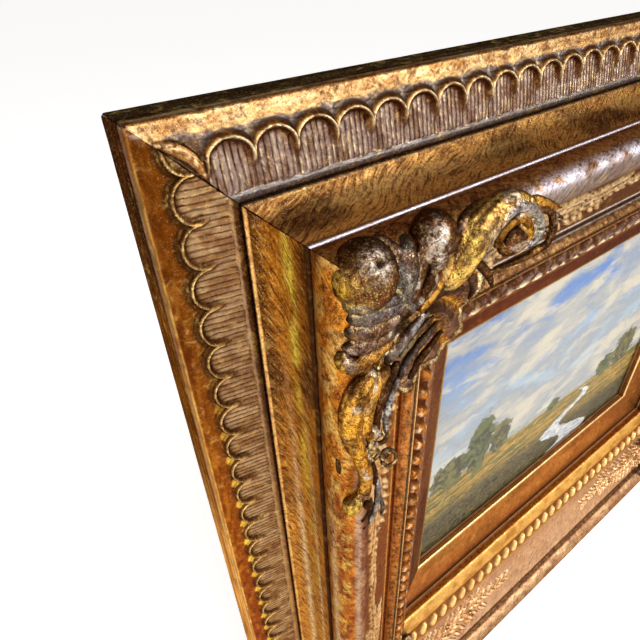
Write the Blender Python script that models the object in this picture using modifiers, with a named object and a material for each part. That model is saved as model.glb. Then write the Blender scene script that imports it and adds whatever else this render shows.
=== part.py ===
# Framed oil painting: wide gilt composition frame with mitred rails, applied corner
# ornaments, a separate gilt liner and a painted canvas board.
# Metres, +Z up, front towards -Y, back plane y = 0, origin at the wall mount on the
# flat back of the top rail.
import math

import bpy
import bmesh
from mathutils import Matrix, Vector, geometry

MM = 0.001

# ---------------------------------------------------------------- driving sizes (mm)
FRAME_W = 758.0          # overall width
FRAME_H = 656.0          # overall height
MOUNT_DOWN = 60.0        # wall mount below the frame's top edge
MITRE_BACK = 0.22        # each rail's end stands back this far along the rail
CRACK_BACK = 0.86        # the same on the opened top left mitre
CRACK_TO_U = 44.0        # the crack runs in from the outer edge to here
CRACK_END_U = 60.0       # and has closed here

SHELL_PITCH_H = 18.7      # on the horizontal rails
SHELL_PITCH_V = 18.2      # on the vertical rails
SHELL_OUT_U = 4.5        # outer edge of the shell band
SHELL_OUT_H = 22.0
SHELL_IN_U = 29.0        # inner edge of the shell band
SHELL_IN_H = 27.5
SHELL_CLEAR_H = 42.4     # first whole shell starts this far along a horizontal rail
SHELL_CLEAR_V = 36.8     # and this far along a vertical one
SHELL_RIM = 2.3          # rim relief
SHELL_DISH = -0.8        # bowl of the shell

ROPE_PITCH = 14.8
ROPE_OUT_U, ROPE_OUT_H = 116.0, 48.0
ROPE_IN_U, ROPE_IN_H = 136.0, 40.0
ROPE_CLEAR = 172.0       # beads start here, clear of the corner tongue
ROPE_RELIEF = 3.2
ROPE_TWIST = 5.5         # a bead's inner end leads its outer end by this much

BOARD_W, BOARD_H = 406.0, 304.0
BOARD_BACK, BOARD_FACE = 2.0, 7.0
GAP = 0.35               # ornaments stand this clear of the rails

# Section of a main rail: u inwards from the outer edge, h forward of the back plane.
SECTION = (
    (0.0, 0.0), (0.0, 21.0),
    (SHELL_OUT_U, SHELL_OUT_H), (SHELL_IN_U, SHELL_IN_H),
    (31.3, 28.2), (32.5, 26.9), (34.0, 28.8),                      # fillet, quirk, arris
    (38.6, 32.2), (41.8, 38.0), (43.8, 45.0), (44.6, 52.6),        # outer cove
    (46.0, 53.6), (45.0, 54.6),                                    # groove
    (43.3, 59.0), (43.0, 64.0), (44.1, 69.4), (47.0, 73.4),        # torus
    (53.5, 75.0), (59.6, 71.8), (64.5, 65.4),                      # crest
    (66.0, 62.2), (67.8, 61.6),                                    # groove
    (75.0, 56.0), (90.0, 47.5), (101.0, 43.8), (110.0, 42.4),      # inner cove
    (111.2, 41.6),
    (ROPE_OUT_U, ROPE_OUT_H), (ROPE_IN_U, ROPE_IN_H),              # rope bed
    (141.6, 36.8), (146.2, 33.4), (146.2, 25.4),                   # sight edge and lip
    (140.0, 25.4), (140.0, 0.0),                                   # rabbet
)
SHELL_ROW, ROPE_ROW = 2, 27

LINER_SECTION = (
    (140.5, 2.0), (140.5, 24.0), (147.2, 24.0), (150.5, 23.6),
    (182.0, 14.6), (182.0, 7.4), (175.6, 7.4), (175.6, 2.0),
)

# Base line that an ornament is laid on: points of the section, with the direction in
# which its relief stands out there, and how far it reaches along the horizontal arm
# and along the vertical arm of the corner.
ORNAMENT_ROWS = (
    # u, h, (du, dh), reach along the horizontal rail, reach along the vertical rail
    (43.0, 64.0, (-1.0, 0.1), 172.0, 196.0),
    (44.1, 69.4, (-0.9, 0.45), 178.0, 202.0),
    (47.0, 73.4, (-0.45, 0.9), 182.0, 208.0),
    (53.5, 75.0, (0.05, 1.0), 184.0, 210.0),
    (59.6, 71.8, (0.3, 0.95), 180.0, 206.0),
    (66.6, 63.2, (0.35, 0.94), 172.0, 190.0),
    (75.0, 56.0, (0.2, 0.98), 158.0, 172.0),
    (90.0, 47.5, (0.0, 1.0), 130.0, 140.0),
    (101.0, 43.8, (0.0, 1.0), 146.0, 146.0),
    (110.6, 42.4, (0.0, 1.0), 156.0, 152.0),
    (ROPE_OUT_U, ROPE_OUT_H, (0.0, 1.0), 154.0, 150.0),
    (126.0, 44.0, (0.0, 1.0), 146.0, 144.0),
    (136.0, 40.0, (0.0, 1.0), 140.5, 140.5),
)
ARM_STEPS = (50.0, 57.0, 64.0, 71.0, 78.0, 85.0, 92.0, 99.0, 107.0, 115.0, 123.0,
             131.0, 139.0, 147.0, 155.0, 163.0, 171.0, 178.0, 185.0, 193.0, 201.0)

# Masses of the corner ornament: (a, b) along the horizontal and the vertical rail from
# the outer corner, half length, half width, angle, relief.
ORNAMENT_LOBES = (
    ("boss", 80.0, 70.0, 20.0, 14.0, 40.0, 9.5),
    ("knob", 58.0, 51.0, 20.0, 18.0, 40.0, 12.0),
    ("lobe", 91.0, 51.0, 13.0, 13.0, 0.0, 8.5),
    ("bulb", 117.0, 56.0, 30.0, 11.0, -14.0, 11.0),
    ("volute", 151.0, 56.0, 15.0, 13.0, 20.0, 9.0),
    ("tail", 172.0, 57.0, 14.0, 9.0, 0.0, 3.5),
    ("leaf_side_1", 62.0, 73.0, 13.0, 12.0, 0.0, 9.0),
    ("leaf_side_2", 63.0, 88.0, 12.0, 11.0, 0.0, 8.0),
    ("lobe_a", 46.0, 60.0, 8.0, 9.0, 0.0, 5.0),
    ("lobe_b", 46.0, 74.0, 8.0, 8.0, 0.0, 5.0),
    ("lobe_c", 46.0, 88.0, 8.0, 8.0, 0.0, 4.5),
    ("long_leaf", 57.0, 108.0, 13.0, 26.0, 12.0, 9.5),
    ("curl", 64.0, 124.0, 11.0, 11.0, 0.0, 7.0),
    ("eye_1", 58.0, 147.0, 9.0, 10.0, 0.0, 7.0),
    ("eye_2", 69.0, 156.0, 8.0, 9.0, 0.0, 5.5),
    ("stem", 57.0, 165.0, 7.0, 12.0, 0.0, 4.5),
    ("bud", 50.0, 178.0, 9.0, 10.0, 0.0, 9.0),
    ("tip", 54.0, 196.0, 7.0, 12.0, 0.0, 3.0),
    ("tongue", 106.0, 104.0, 44.0, 27.0, 44.0, 11.0),
    ("tongue_tip", 128.0, 126.0, 16.0, 20.0, 44.0, 5.0),
)


# ---------------------------------------------------------------- small helpers
def material(name, colour, roughness, metallic):
    mat = bpy.data.materials.new(name)
    mat.use_nodes = True
    shader = mat.node_tree.nodes["Principled BSDF"]
    shader.inputs["Base Color"].default_value = (*colour, 1.0)
    shader.inputs["Roughness"].default_value = roughness
    shader.inputs["Metallic"].default_value = metallic
    return mat


class Body:
    """Gathers shared vertices and triangles of one closed solid, in mm."""

    def __init__(self):
        self.points, self.index, self.faces = [], {}, []

    def vertex(self, x, y, z):
        key = (round(x, 4), round(y, 4), round(z, 4))
        if key not in self.index:
            self.index[key] = len(self.points)
            self.points.append(key)
        return self.index[key]

    def triangle(self, a, b, c):
        if len({a, b, c}) == 3:
            self.faces.append((a, b, c))

    def zip_rows(self, row, other, along):
        """Triangles between two rows of vertices that both run the same way."""
        i = j = 0
        while i < len(row) - 1 or j < len(other) - 1:
            step_row = j == len(other) - 1 or (
                i < len(row) - 1
                and self.points[row[i + 1]][along] <= self.points[other[j + 1]][along]
            )
            if step_row:
                self.triangle(row[i], other[j], row[i + 1])
                i += 1
            else:
                self.triangle(row[i], other[j], other[j + 1])
                j += 1

    def make(self, name, mat, collection, location, turn=0.0):
        mesh = bpy.data.meshes.new(name)
        mesh.from_pydata([Vector(p) * MM for p in self.points], [], self.faces)
        mesh.validate()
        shape = bmesh.new()
        shape.from_mesh(mesh)
        bmesh.ops.recalc_face_normals(shape, faces=shape.faces)
        if shape.calc_volume(signed=True) < 0:
            bmesh.ops.reverse_faces(shape, faces=shape.faces)
        shape.to_mesh(mesh)
        shape.free()
        mesh.materials.append(mat)
        obj = bpy.data.objects.new(name, mesh)
        obj.location = [c * MM for c in location]
        obj.rotation_euler = (0.0, math.radians(turn), 0.0)
        collection.objects.link(obj)
        return obj


def plain_back(u):
    return MITRE_BACK


def cracked_back(u):
    """An opened joint: wide at the outer edge, closed again under the ornament."""
    share = min(max((CRACK_END_U - u) / (CRACK_END_U - CRACK_TO_U), 0.0), 1.0)
    return MITRE_BACK + (CRACK_BACK - MITRE_BACK) * share


def shell_relief(u):
    """Height of the plain shell band at u."""
    share = (u - SHELL_OUT_U) / (SHELL_IN_U - SHELL_OUT_U)
    return SHELL_OUT_H + (SHELL_IN_H - SHELL_OUT_H) * share


def rope_bed(u):
    share = (u - ROPE_OUT_U) / (ROPE_IN_U - ROPE_OUT_U)
    return ROPE_OUT_H + (ROPE_IN_H - ROPE_OUT_H) * share


# ---------------------------------------------------------------- rails
def rail(length, section, backs, shell_run):
    """A mitred rail from a section. Local X runs along it, -Y forward, -Z inwards.
    shell_run is the shells' pitch and their clearance from the ends, or None if plain."""
    body = Body()

    def put(s, u, h):
        return body.vertex(s - length / 2, -h, -u)

    start = [put(u + backs[0](u), u, h) for u, h in section]
    end = [put(length - u - backs[1](u), u, h) for u, h in section]
    rows = [[a, b] for a, b in zip(start, end)]

    skip = set()
    if shell_run:
        skip = {SHELL_ROW, ROPE_ROW}
        shells(body, put, rows, length, *shell_run)
        rope(body, put, rows, length)

    count = len(section)
    for i in range(count):
        if i not in skip:
            body.zip_rows(rows[i], rows[(i + 1) % count], 0)
    flat = [Vector((u, h, 0.0)) for u, h in section]
    for a, b, c in geometry.tessellate_polygon([flat]):
        body.triangle(start[a], start[b], start[c])
        body.triangle(end[a], end[b], end[c])
    return body


def shells(body, put, rows, length, wanted_pitch, clear):
    """A run of arched shells with raised rims and dished bowls."""
    outer, inner = rows[SHELL_ROW], rows[SHELL_ROW + 1]
    run = length - 2 * clear
    count = round(run / wanted_pitch)
    pitch = run / count
    foot = ((-0.5, 18.0), (-0.4, 11.8), (-0.2, 8.6), (0.2, 8.6), (0.4, 11.8), (0.5, 18.0))
    rim = ((-0.44, 19.0), (-0.33, 12.8), (-0.16, 10.2), (0.16, 10.2), (0.33, 12.8), (0.44, 19.0))
    edge = [clear + k * pitch for k in range(count + 1)]
    out_v = [put(s, SHELL_OUT_U, SHELL_OUT_H) for s in edge]
    in_v = [put(s, SHELL_IN_U, SHELL_IN_H) for s in edge]
    for k in range(count):
        mid = (edge[k] + edge[k + 1]) / 2
        f = [put(mid + x * pitch, u, shell_relief(u)) for x, u in foot]
        r = [put(mid + x * pitch, u, shell_relief(u) + SHELL_RIM) for x, u in rim]
        bowl = put(mid, 19.0, shell_relief(19.0) + SHELL_DISH)
        a, b, c, d = out_v[k], out_v[k + 1], in_v[k], in_v[k + 1]
        for i in range(3):
            body.triangle(a, f[i], f[i + 1])
        body.triangle(a, f[3], b)
        body.triangle(b, f[3], f[4])
        body.triangle(b, f[4], f[5])
        for i in range(5):
            body.triangle(f[i], r[i], r[i + 1])
            body.triangle(f[i], r[i + 1], f[i + 1])
            body.triangle(bowl, r[i], r[i + 1])
        body.triangle(f[0], c, r[0])
        body.triangle(f[5], r[5], d)
        body.triangle(bowl, c, r[0])
        body.triangle(bowl, r[5], d)
        body.triangle(bowl, d, c)
    side = put(edge[0], foot[0][1], shell_relief(foot[0][1]))
    for tri in ((outer[0], out_v[0], side), (outer[0], side, in_v[0]), (outer[0], in_v[0], inner[0])):
        body.triangle(*tri)
    side = put(edge[-1], foot[0][1], shell_relief(foot[0][1]))
    for tri in ((outer[1], out_v[-1], side), (outer[1], side, in_v[-1]), (outer[1], in_v[-1], inner[1])):
        body.triangle(*tri)
    outer[1:1] = out_v
    inner[1:1] = in_v


def rope(body, put, rows, length):
    """A run of slanted rope beads on the rope bed."""
    outer, inner = rows[ROPE_ROW], rows[ROPE_ROW + 1]
    run = length - 2 * ROPE_CLEAR
    count = round(run / ROPE_PITCH)
    pitch = run / count
    half = ROPE_TWIST / 2
    edge = [ROPE_CLEAR + k * pitch for k in range(count + 1)]
    out_v = [put(s - half, ROPE_OUT_U, ROPE_OUT_H) for s in edge]
    in_v = [put(s + half, ROPE_IN_U, ROPE_IN_H) for s in edge]
    for k in range(count):
        mid = (edge[k] + edge[k + 1]) / 2
        top = put(mid - half * 0.6, 120.0, rope_bed(120.0) + ROPE_RELIEF)
        low = put(mid + half * 0.6, 132.0, rope_bed(132.0) + ROPE_RELIEF)
        a, b, c, d = out_v[k], out_v[k + 1], in_v[k], in_v[k + 1]
        body.triangle(a, c, low)
        body.triangle(a, low, top)
        body.triangle(b, top, low)
        body.triangle(b, low, d)
        body.triangle(a, top, b)
        body.triangle(c, d, low)
    body.zip_rows([outer[0], out_v[0]], [inner[0], in_v[0]], 0)
    body.zip_rows([out_v[-1], outer[1]], [in_v[-1], inner[1]], 0)
    outer[1:1] = out_v
    inner[1:1] = in_v


# ---------------------------------------------------------------- corner ornaments
def ornament_relief(a, b):
    """How far the ornament stands out at plan point (a, b)."""
    best = 0.0
    for _, ca, cb, ra, rb, angle, relief in ORNAMENT_LOBES:
        t = math.radians(angle)
        x, y = a - ca, b - cb
        p = (x * math.cos(t) + y * math.sin(t)) / ra
        q = (-x * math.sin(t) + y * math.cos(t)) / rb
        k = 1.0 - p * p - q * q
        if k > 0:
            best = max(best, relief * k ** 0.6)
    return 2.0 + best


def corner_ornament():
    """Leafy rocaille laid over the corner. Local X along the horizontal rail, -Z down."""
    body = Body()
    tops, bottoms = [], []
    for arm in (0, 1):
        top_rows, low_rows = [], []
        for i, (u, h, (du, dh), reach_h, reach_v) in enumerate(ORNAMENT_ROWS):
            reach = (reach_h, reach_v)[arm]
            edge_row = i in (0, len(ORNAMENT_ROWS) - 1)

            def put(s, out):
                uu, hh = u + du * out, h + dh * out
                s = max(s, uu)
                return body.vertex(*((s, -hh, -uu) if arm == 0 else (uu, -hh, -s)))

            def out_at(s):
                a, b = (s, u) if arm == 0 else (u, s)
                return ornament_relief(a, b) * (0.45 if edge_row else 1.0)

            first = put(0.0, out_at(u))      # on the mitre, shared by both arms
            row = [first]
            clear = max(u, u + du * out_at(u)) + 3.5
            for s in ARM_STEPS:
                if clear < s < reach - 3.0:
                    row.append(put(s, out_at(s)))
            row.append(put(reach, GAP + 1.2))
            top_rows.append(row)
            low_rows.append([put(0.0, GAP), put(reach, GAP)])
        along = 0 if arm == 0 else 2
        if arm == 1:      # the vertical arm runs down -Z, so its rows are zipped upwards
            top_rows = [r[::-1] for r in top_rows]
            low_rows = [r[::-1] for r in low_rows]
        for i in range(len(ORNAMENT_ROWS) - 1):
            body.zip_rows(top_rows[i], top_rows[i + 1], along)
            body.zip_rows(low_rows[i], low_rows[i + 1], along)
        body.zip_rows(top_rows[0], low_rows[0], along)
        body.zip_rows(top_rows[-1], low_rows[-1], along)
        far = -1 if arm == 0 else 0
        for i in range(len(ORNAMENT_ROWS) - 1):
            a, b = top_rows[i][far], top_rows[i + 1][far]
            c, d = low_rows[i][far], low_rows[i + 1][far]
            body.triangle(a, b, d)
            body.triangle(a, d, c)
    return body


# ---------------------------------------------------------------- build
for old in list(bpy.data.objects):
    bpy.data.objects.remove(old, do_unlink=True)

group = bpy.data.collections.new("framed_oil_painting")
bpy.context.scene.collection.children.link(group)

HALF_W = FRAME_W / 2
TOP_Z = MOUNT_DOWN
LOW_Z = MOUNT_DOWN - FRAME_H
MID_Z = (TOP_Z + LOW_Z) / 2

gilt_top = material("gilt_top", (0.36, 0.25, 0.12), 0.42, 0.55)
gilt_bottom = material("gilt_bottom", (0.42, 0.29, 0.14), 0.42, 0.55)
gilt_left = material("gilt_left", (0.40, 0.24, 0.09), 0.40, 0.6)
gilt_right = material("gilt_right", (0.38, 0.25, 0.11), 0.42, 0.55)
gilt_ornament = material("gilt_ornament", (0.50, 0.33, 0.12), 0.36, 0.65)
gilt_liner = material("gilt_liner", (0.45, 0.28, 0.13), 0.35, 0.6)
canvas_paint = material("canvas_paint", (0.40, 0.44, 0.46), 0.55, 0.0)

H_SHELLS = (SHELL_PITCH_H, SHELL_CLEAR_H)
V_SHELLS = (SHELL_PITCH_V, SHELL_CLEAR_V)

# The opened mitre is at the top left: the top rail's first end and, since the left rail
# is turned a quarter, that rail's last end.
rail(FRAME_W, SECTION, (cracked_back, plain_back), H_SHELLS).make(
    "rail_top", gilt_top, group, (0, 0, TOP_Z))
rail(FRAME_W, SECTION, (plain_back, plain_back), H_SHELLS).make(
    "rail_bottom", gilt_bottom, group, (0, 0, LOW_Z), 180)
rail(FRAME_H, SECTION, (plain_back, cracked_back), V_SHELLS).make(
    "rail_left", gilt_left, group, (-HALF_W, 0, MID_Z), -90)
rail(FRAME_H, SECTION, (plain_back, plain_back), V_SHELLS).make(
    "rail_right", gilt_right, group, (HALF_W, 0, MID_Z), 90)

for name, length, where, turn in (
    ("liner_top", FRAME_W, (0, 0, TOP_Z), 0),
    ("liner_bottom", FRAME_W, (0, 0, LOW_Z), 180),
    ("liner_left", FRAME_H, (-HALF_W, 0, MID_Z), -90),
    ("liner_right", FRAME_H, (HALF_W, 0, MID_Z), 90),
):
    rail(length, LINER_SECTION, (plain_back, plain_back), None).make(
        name, gilt_liner, group, where, turn)

# Each corner's ornament is the same casting, turned or flipped to suit its corner.
for name, where, flip_x, flip_z in (
    ("ornament_top_left", (-HALF_W, 0, TOP_Z), 1, 1),
    ("ornament_top_right", (HALF_W, 0, TOP_Z), -1, 1),
    ("ornament_bottom_left", (-HALF_W, 0, LOW_Z), 1, -1),
    ("ornament_bottom_right", (HALF_W, 0, LOW_Z), -1, -1),
):
    body = corner_ornament()
    body.points = [(x * flip_x, y, z * flip_z) for x, y, z in body.points]
    body.make(name, gilt_ornament, group, where)

# Canvas board with slightly eased edges.
bpy.ops.mesh.primitive_cube_add(size=1.0)
board = bpy.context.object
board.name = board.data.name = "painted_canvas"
board.data.transform(Matrix.Diagonal((BOARD_W * MM, (BOARD_FACE - BOARD_BACK) * MM, BOARD_H * MM, 1.0)))
board.location = (0, -(BOARD_FACE + BOARD_BACK) / 2 * MM, MID_Z * MM)
board.data.materials.append(canvas_paint)
ease = board.modifiers.new("eased_edges", "BEVEL")
ease.width = 0.6 * MM
ease.segments = 1
for old in list(board.users_collection):
    old.objects.unlink(board)
group.objects.link(board)
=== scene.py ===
"""Looks of the framed oil painting: carved and gilded composition frame, gilt liner, painted canvas board.

Lengths are in millimetres while a piece is being shaped, and in metres once it is a mesh. A rail is shaped in its
own coordinates: s runs along it, u inwards from its outer edge, h forward of the wall.
"""

import math

import bpy
import bmesh
import numpy as np
from mathutils import Matrix, Vector, geometry


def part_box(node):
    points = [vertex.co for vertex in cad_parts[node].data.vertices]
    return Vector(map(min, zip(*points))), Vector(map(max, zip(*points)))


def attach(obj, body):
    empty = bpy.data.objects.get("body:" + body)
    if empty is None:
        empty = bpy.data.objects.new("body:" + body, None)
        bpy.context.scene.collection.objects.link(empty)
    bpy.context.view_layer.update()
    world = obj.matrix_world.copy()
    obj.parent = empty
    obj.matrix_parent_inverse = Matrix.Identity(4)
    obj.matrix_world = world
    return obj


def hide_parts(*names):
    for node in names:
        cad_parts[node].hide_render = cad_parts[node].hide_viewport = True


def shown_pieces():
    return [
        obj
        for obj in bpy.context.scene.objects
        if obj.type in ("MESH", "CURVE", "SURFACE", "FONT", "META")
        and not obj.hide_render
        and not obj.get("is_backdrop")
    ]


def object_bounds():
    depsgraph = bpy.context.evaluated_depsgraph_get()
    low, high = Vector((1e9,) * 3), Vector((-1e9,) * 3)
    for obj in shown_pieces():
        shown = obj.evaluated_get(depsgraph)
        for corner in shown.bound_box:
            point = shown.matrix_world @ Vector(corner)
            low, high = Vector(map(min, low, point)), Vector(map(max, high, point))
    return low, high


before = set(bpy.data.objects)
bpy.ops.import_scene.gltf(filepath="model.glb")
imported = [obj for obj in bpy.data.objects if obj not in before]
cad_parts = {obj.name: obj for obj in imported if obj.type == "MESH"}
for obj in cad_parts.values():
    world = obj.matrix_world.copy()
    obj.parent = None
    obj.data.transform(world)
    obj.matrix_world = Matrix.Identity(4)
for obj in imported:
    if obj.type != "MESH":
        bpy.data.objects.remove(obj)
CAD_LO, CAD_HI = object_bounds()
MM = 0.001

WIDTH = (CAD_HI.x - CAD_LO.x) / MM
HEIGHT = (CAD_HI.z - CAD_LO.z) / MM
LEFT_X, RIGHT_X = CAD_LO.x / MM, CAD_HI.x / MM
TOP_Z, LOW_Z = CAD_HI.z / MM, CAD_LO.z / MM
MID_Z = (TOP_Z + LOW_Z) / 2


# ================================================================ numbers and noise
def srgb(r, g, b):
    out = []
    for c in (r, g, b):
        c = c / 255.0
        out.append(c / 12.92 if c <= 0.04045 else ((c + 0.055) / 1.055) ** 2.4)
    return np.array(out)


def smooth(lo, hi, x):
    t = np.clip((np.asarray(x, float) - lo) / (hi - lo), 0.0, 1.0)
    return t * t * (3.0 - 2.0 * t)


def hashed(ix, iy, iz, seed):
    h = (ix * 374761393 + iy * 668265263 + iz * 1103515245 + seed * 974634777) & 0xFFFFFFFF
    h = ((h ^ (h >> 13)) * 1274126177) & 0xFFFFFFFF
    h = ((h ^ (h >> 15)) * 668265263) & 0xFFFFFFFF
    return ((h ^ (h >> 16)) & 0xFFFFF) / float(0xFFFFF)


def noise(x, y, z, seed=0):
    """Smooth value noise, 0 to 1."""
    x, y, z = np.broadcast_arrays(*(np.asarray(v, float) for v in (x, y, z)))
    ix, iy, iz = (np.floor(v).astype(np.int64) for v in (x, y, z))
    fx, fy, fz = x - ix, y - iy, z - iz
    fx, fy, fz = (f * f * (3 - 2 * f) for f in (fx, fy, fz))
    out = 0.0
    for dx in (0, 1):
        wx = fx if dx else 1 - fx
        for dy in (0, 1):
            wy = fy if dy else 1 - fy
            for dz in (0, 1):
                wz = fz if dz else 1 - fz
                out = out + wx * wy * wz * hashed(ix + dx, iy + dy, iz + dz, seed)
    return out


def fbm(x, y, z, seed=0, octaves=3):
    """Layered noise, about -1 to 1."""
    total, amp, norm = 0.0, 1.0, 0.0
    for k in range(octaves):
        f = 2.0 ** k
        total = total + amp * (noise(x * f, y * f, np.asarray(z) * f, seed + 17 * k) * 2 - 1)
        norm += amp
        amp *= 0.5
    return total / norm


def catmull(points, per=8):
    p = np.asarray(points, float)
    ext = np.vstack([2 * p[0] - p[1], p, 2 * p[-1] - p[-2]])
    out = []
    for i in range(1, len(ext) - 2):
        a, b, c, d = ext[i - 1], ext[i], ext[i + 1], ext[i + 2]
        for t in np.linspace(0, 1, per, endpoint=False):
            out.append(0.5 * (2 * b + (c - a) * t + (2 * a - 5 * b + 4 * c - d) * t * t
                              + (3 * b - a - 3 * c + d) * t ** 3))
    out.append(ext[-2])
    return np.array(out)


def resample(points, step, curved):
    p = catmull(points) if curved and len(points) > 2 else np.asarray(points, float)
    run = np.concatenate([[0.0], np.cumsum(np.hypot(*np.diff(p[:, :2], axis=0).T))])
    n = max(1, int(round(run[-1] / step)))
    t = np.linspace(0, run[-1], n + 1)
    return np.stack([np.interp(t, run, p[:, k]) for k in range(p.shape[1])], 1)


# ================================================================ meshes
def mesh_from(name, points_mm, faces_by_size, uv=None):
    """Mesh object from numpy points in millimetres and lists of equal-sized faces."""
    mesh = bpy.data.meshes.new(name)
    points = np.asarray(points_mm, np.float32) * MM
    mesh.vertices.add(len(points))
    mesh.vertices.foreach_set("co", points.ravel())
    loops = np.concatenate([np.asarray(f, np.int32).ravel() for f in faces_by_size if len(f)])
    sizes = np.concatenate([np.full(len(f), np.asarray(f).shape[1], np.int32) for f in faces_by_size if len(f)])
    starts = np.concatenate([[0], np.cumsum(sizes)[:-1]]).astype(np.int32)
    mesh.loops.add(len(loops))
    mesh.loops.foreach_set("vertex_index", loops)
    mesh.polygons.add(len(sizes))
    mesh.polygons.foreach_set("loop_start", starts)
    mesh.polygons.foreach_set("loop_total", sizes)
    mesh.update(calc_edges=True)
    mesh.validate()
    if uv is not None:
        layer = mesh.uv_layers.new(name="UVMap")
        index = np.empty(len(mesh.loops), np.int32)
        mesh.loops.foreach_get("vertex_index", index)
        layer.data.foreach_set("uv", np.asarray(uv, np.float32)[index].ravel())
    obj = bpy.data.objects.new(name, mesh)
    bpy.context.scene.collection.objects.link(obj)
    return obj


def coords(mesh):
    out = np.empty(len(mesh.vertices) * 3, np.float32)
    mesh.vertices.foreach_get("co", out)
    return out.reshape(-1, 3).astype(float)


def curvature(mesh, rounds):
    """Signed bend at each vertex, averaged over a few rings: above 0 is a hollow, below 0 an edge."""
    p = coords(mesh)
    n = np.empty(len(mesh.vertices) * 3, np.float32)
    mesh.vertices.foreach_get("normal", n)
    n = n.reshape(-1, 3)
    e = np.empty(len(mesh.edges) * 2, np.int32)
    mesh.edges.foreach_get("vertices", e)
    e = e.reshape(-1, 2)
    count = len(p)
    a, b = np.concatenate([e[:, 0], e[:, 1]]), np.concatenate([e[:, 1], e[:, 0]])
    deg = np.maximum(np.bincount(a, minlength=count), 1)
    length = np.linalg.norm(p[a] - p[b], axis=1)
    mean = np.stack([np.bincount(a, weights=p[b, k], minlength=count) for k in range(3)], 1) / deg[:, None]
    size = np.bincount(a, weights=length, minlength=count) / deg
    bend = np.einsum("ij,ij->i", mean - p, n) / np.maximum(size, 1e-9) ** 2 * MM   # per millimetre
    found = []
    for r in range(max(rounds) + 1):
        if r in rounds:
            found.append(bend.copy())
        bend = 0.4 * bend + 0.6 * np.bincount(a, weights=bend[b], minlength=count) / deg
    return found


def paint(obj, tint, streak, speck, fine=(0.16, 0.5), broad=(0.10, 0.4), extra_dark=None, wear_gain=1.0, cut_faces=0, leafed=1.0):
    """Stores the finish at each face corner: tint, how gilded (leafed), hollow, worn, streaked and speckled it is."""
    mesh = obj.data
    near, far = curvature(mesh, (1, 5))
    hollow = np.clip(smooth(*fine, near) * 0.6 + smooth(*broad, far) * 0.8, 0, 1)
    worn = np.clip(smooth(fine[0], fine[1] * 1.3, -near) * 0.8 + smooth(broad[0], broad[1] * 1.2, -far) * 0.6, 0, 1)
    p = coords(mesh) / MM
    rub = 0.55 + 0.9 * noise(p[:, 0] / 9, p[:, 1] / 9, p[:, 2] / 9, 71) * noise(p[:, 0] / 2.2, p[:, 1] / 2.2, p[:, 2] / 2.2, 72) * 2
    worn = np.clip(worn * rub * wear_gain, 0, 1)
    if extra_dark is not None:
        hollow = np.clip(hollow + extra_dark, 0, 1)
        worn = worn * (1 - 0.8 * np.clip(extra_dark, 0, 1))
    index = np.empty(len(mesh.loops), np.int32)
    mesh.loops.foreach_get("vertex_index", index)
    rgba = np.ones((len(tint), 4), np.float32)
    rgba[:, :3] = np.clip(tint, 0, 1)
    rgba[:, 3] = leafed
    rgba = rgba[index]
    cut = 3 * cut_faces        # the faces of a cut end come last, and are triangles
    if cut:
        rgba[-cut:, :3] = srgb(34, 20, 10)
    layer = mesh.attributes.new("tint", "FLOAT_COLOR", "CORNER")
    layer.data.foreach_set("color", rgba.ravel())
    rgba = np.stack([hollow, worn, np.broadcast_to(streak, hollow.shape), np.broadcast_to(speck, hollow.shape)], 1)[index]
    if cut:
        rgba[-cut:] = (0.9, 0.0, 0.0, 0.3)
    layer = mesh.attributes.new("patina", "FLOAT_COLOR", "CORNER")
    layer.data.foreach_set("color", rgba.astype(np.float32).ravel())


def shade(obj, angle):
    mesh = obj.data
    mesh.polygons.foreach_set("use_smooth", np.ones(len(mesh.polygons), bool))
    mesh.set_sharp_from_angle(angle=math.radians(angle))


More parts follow.
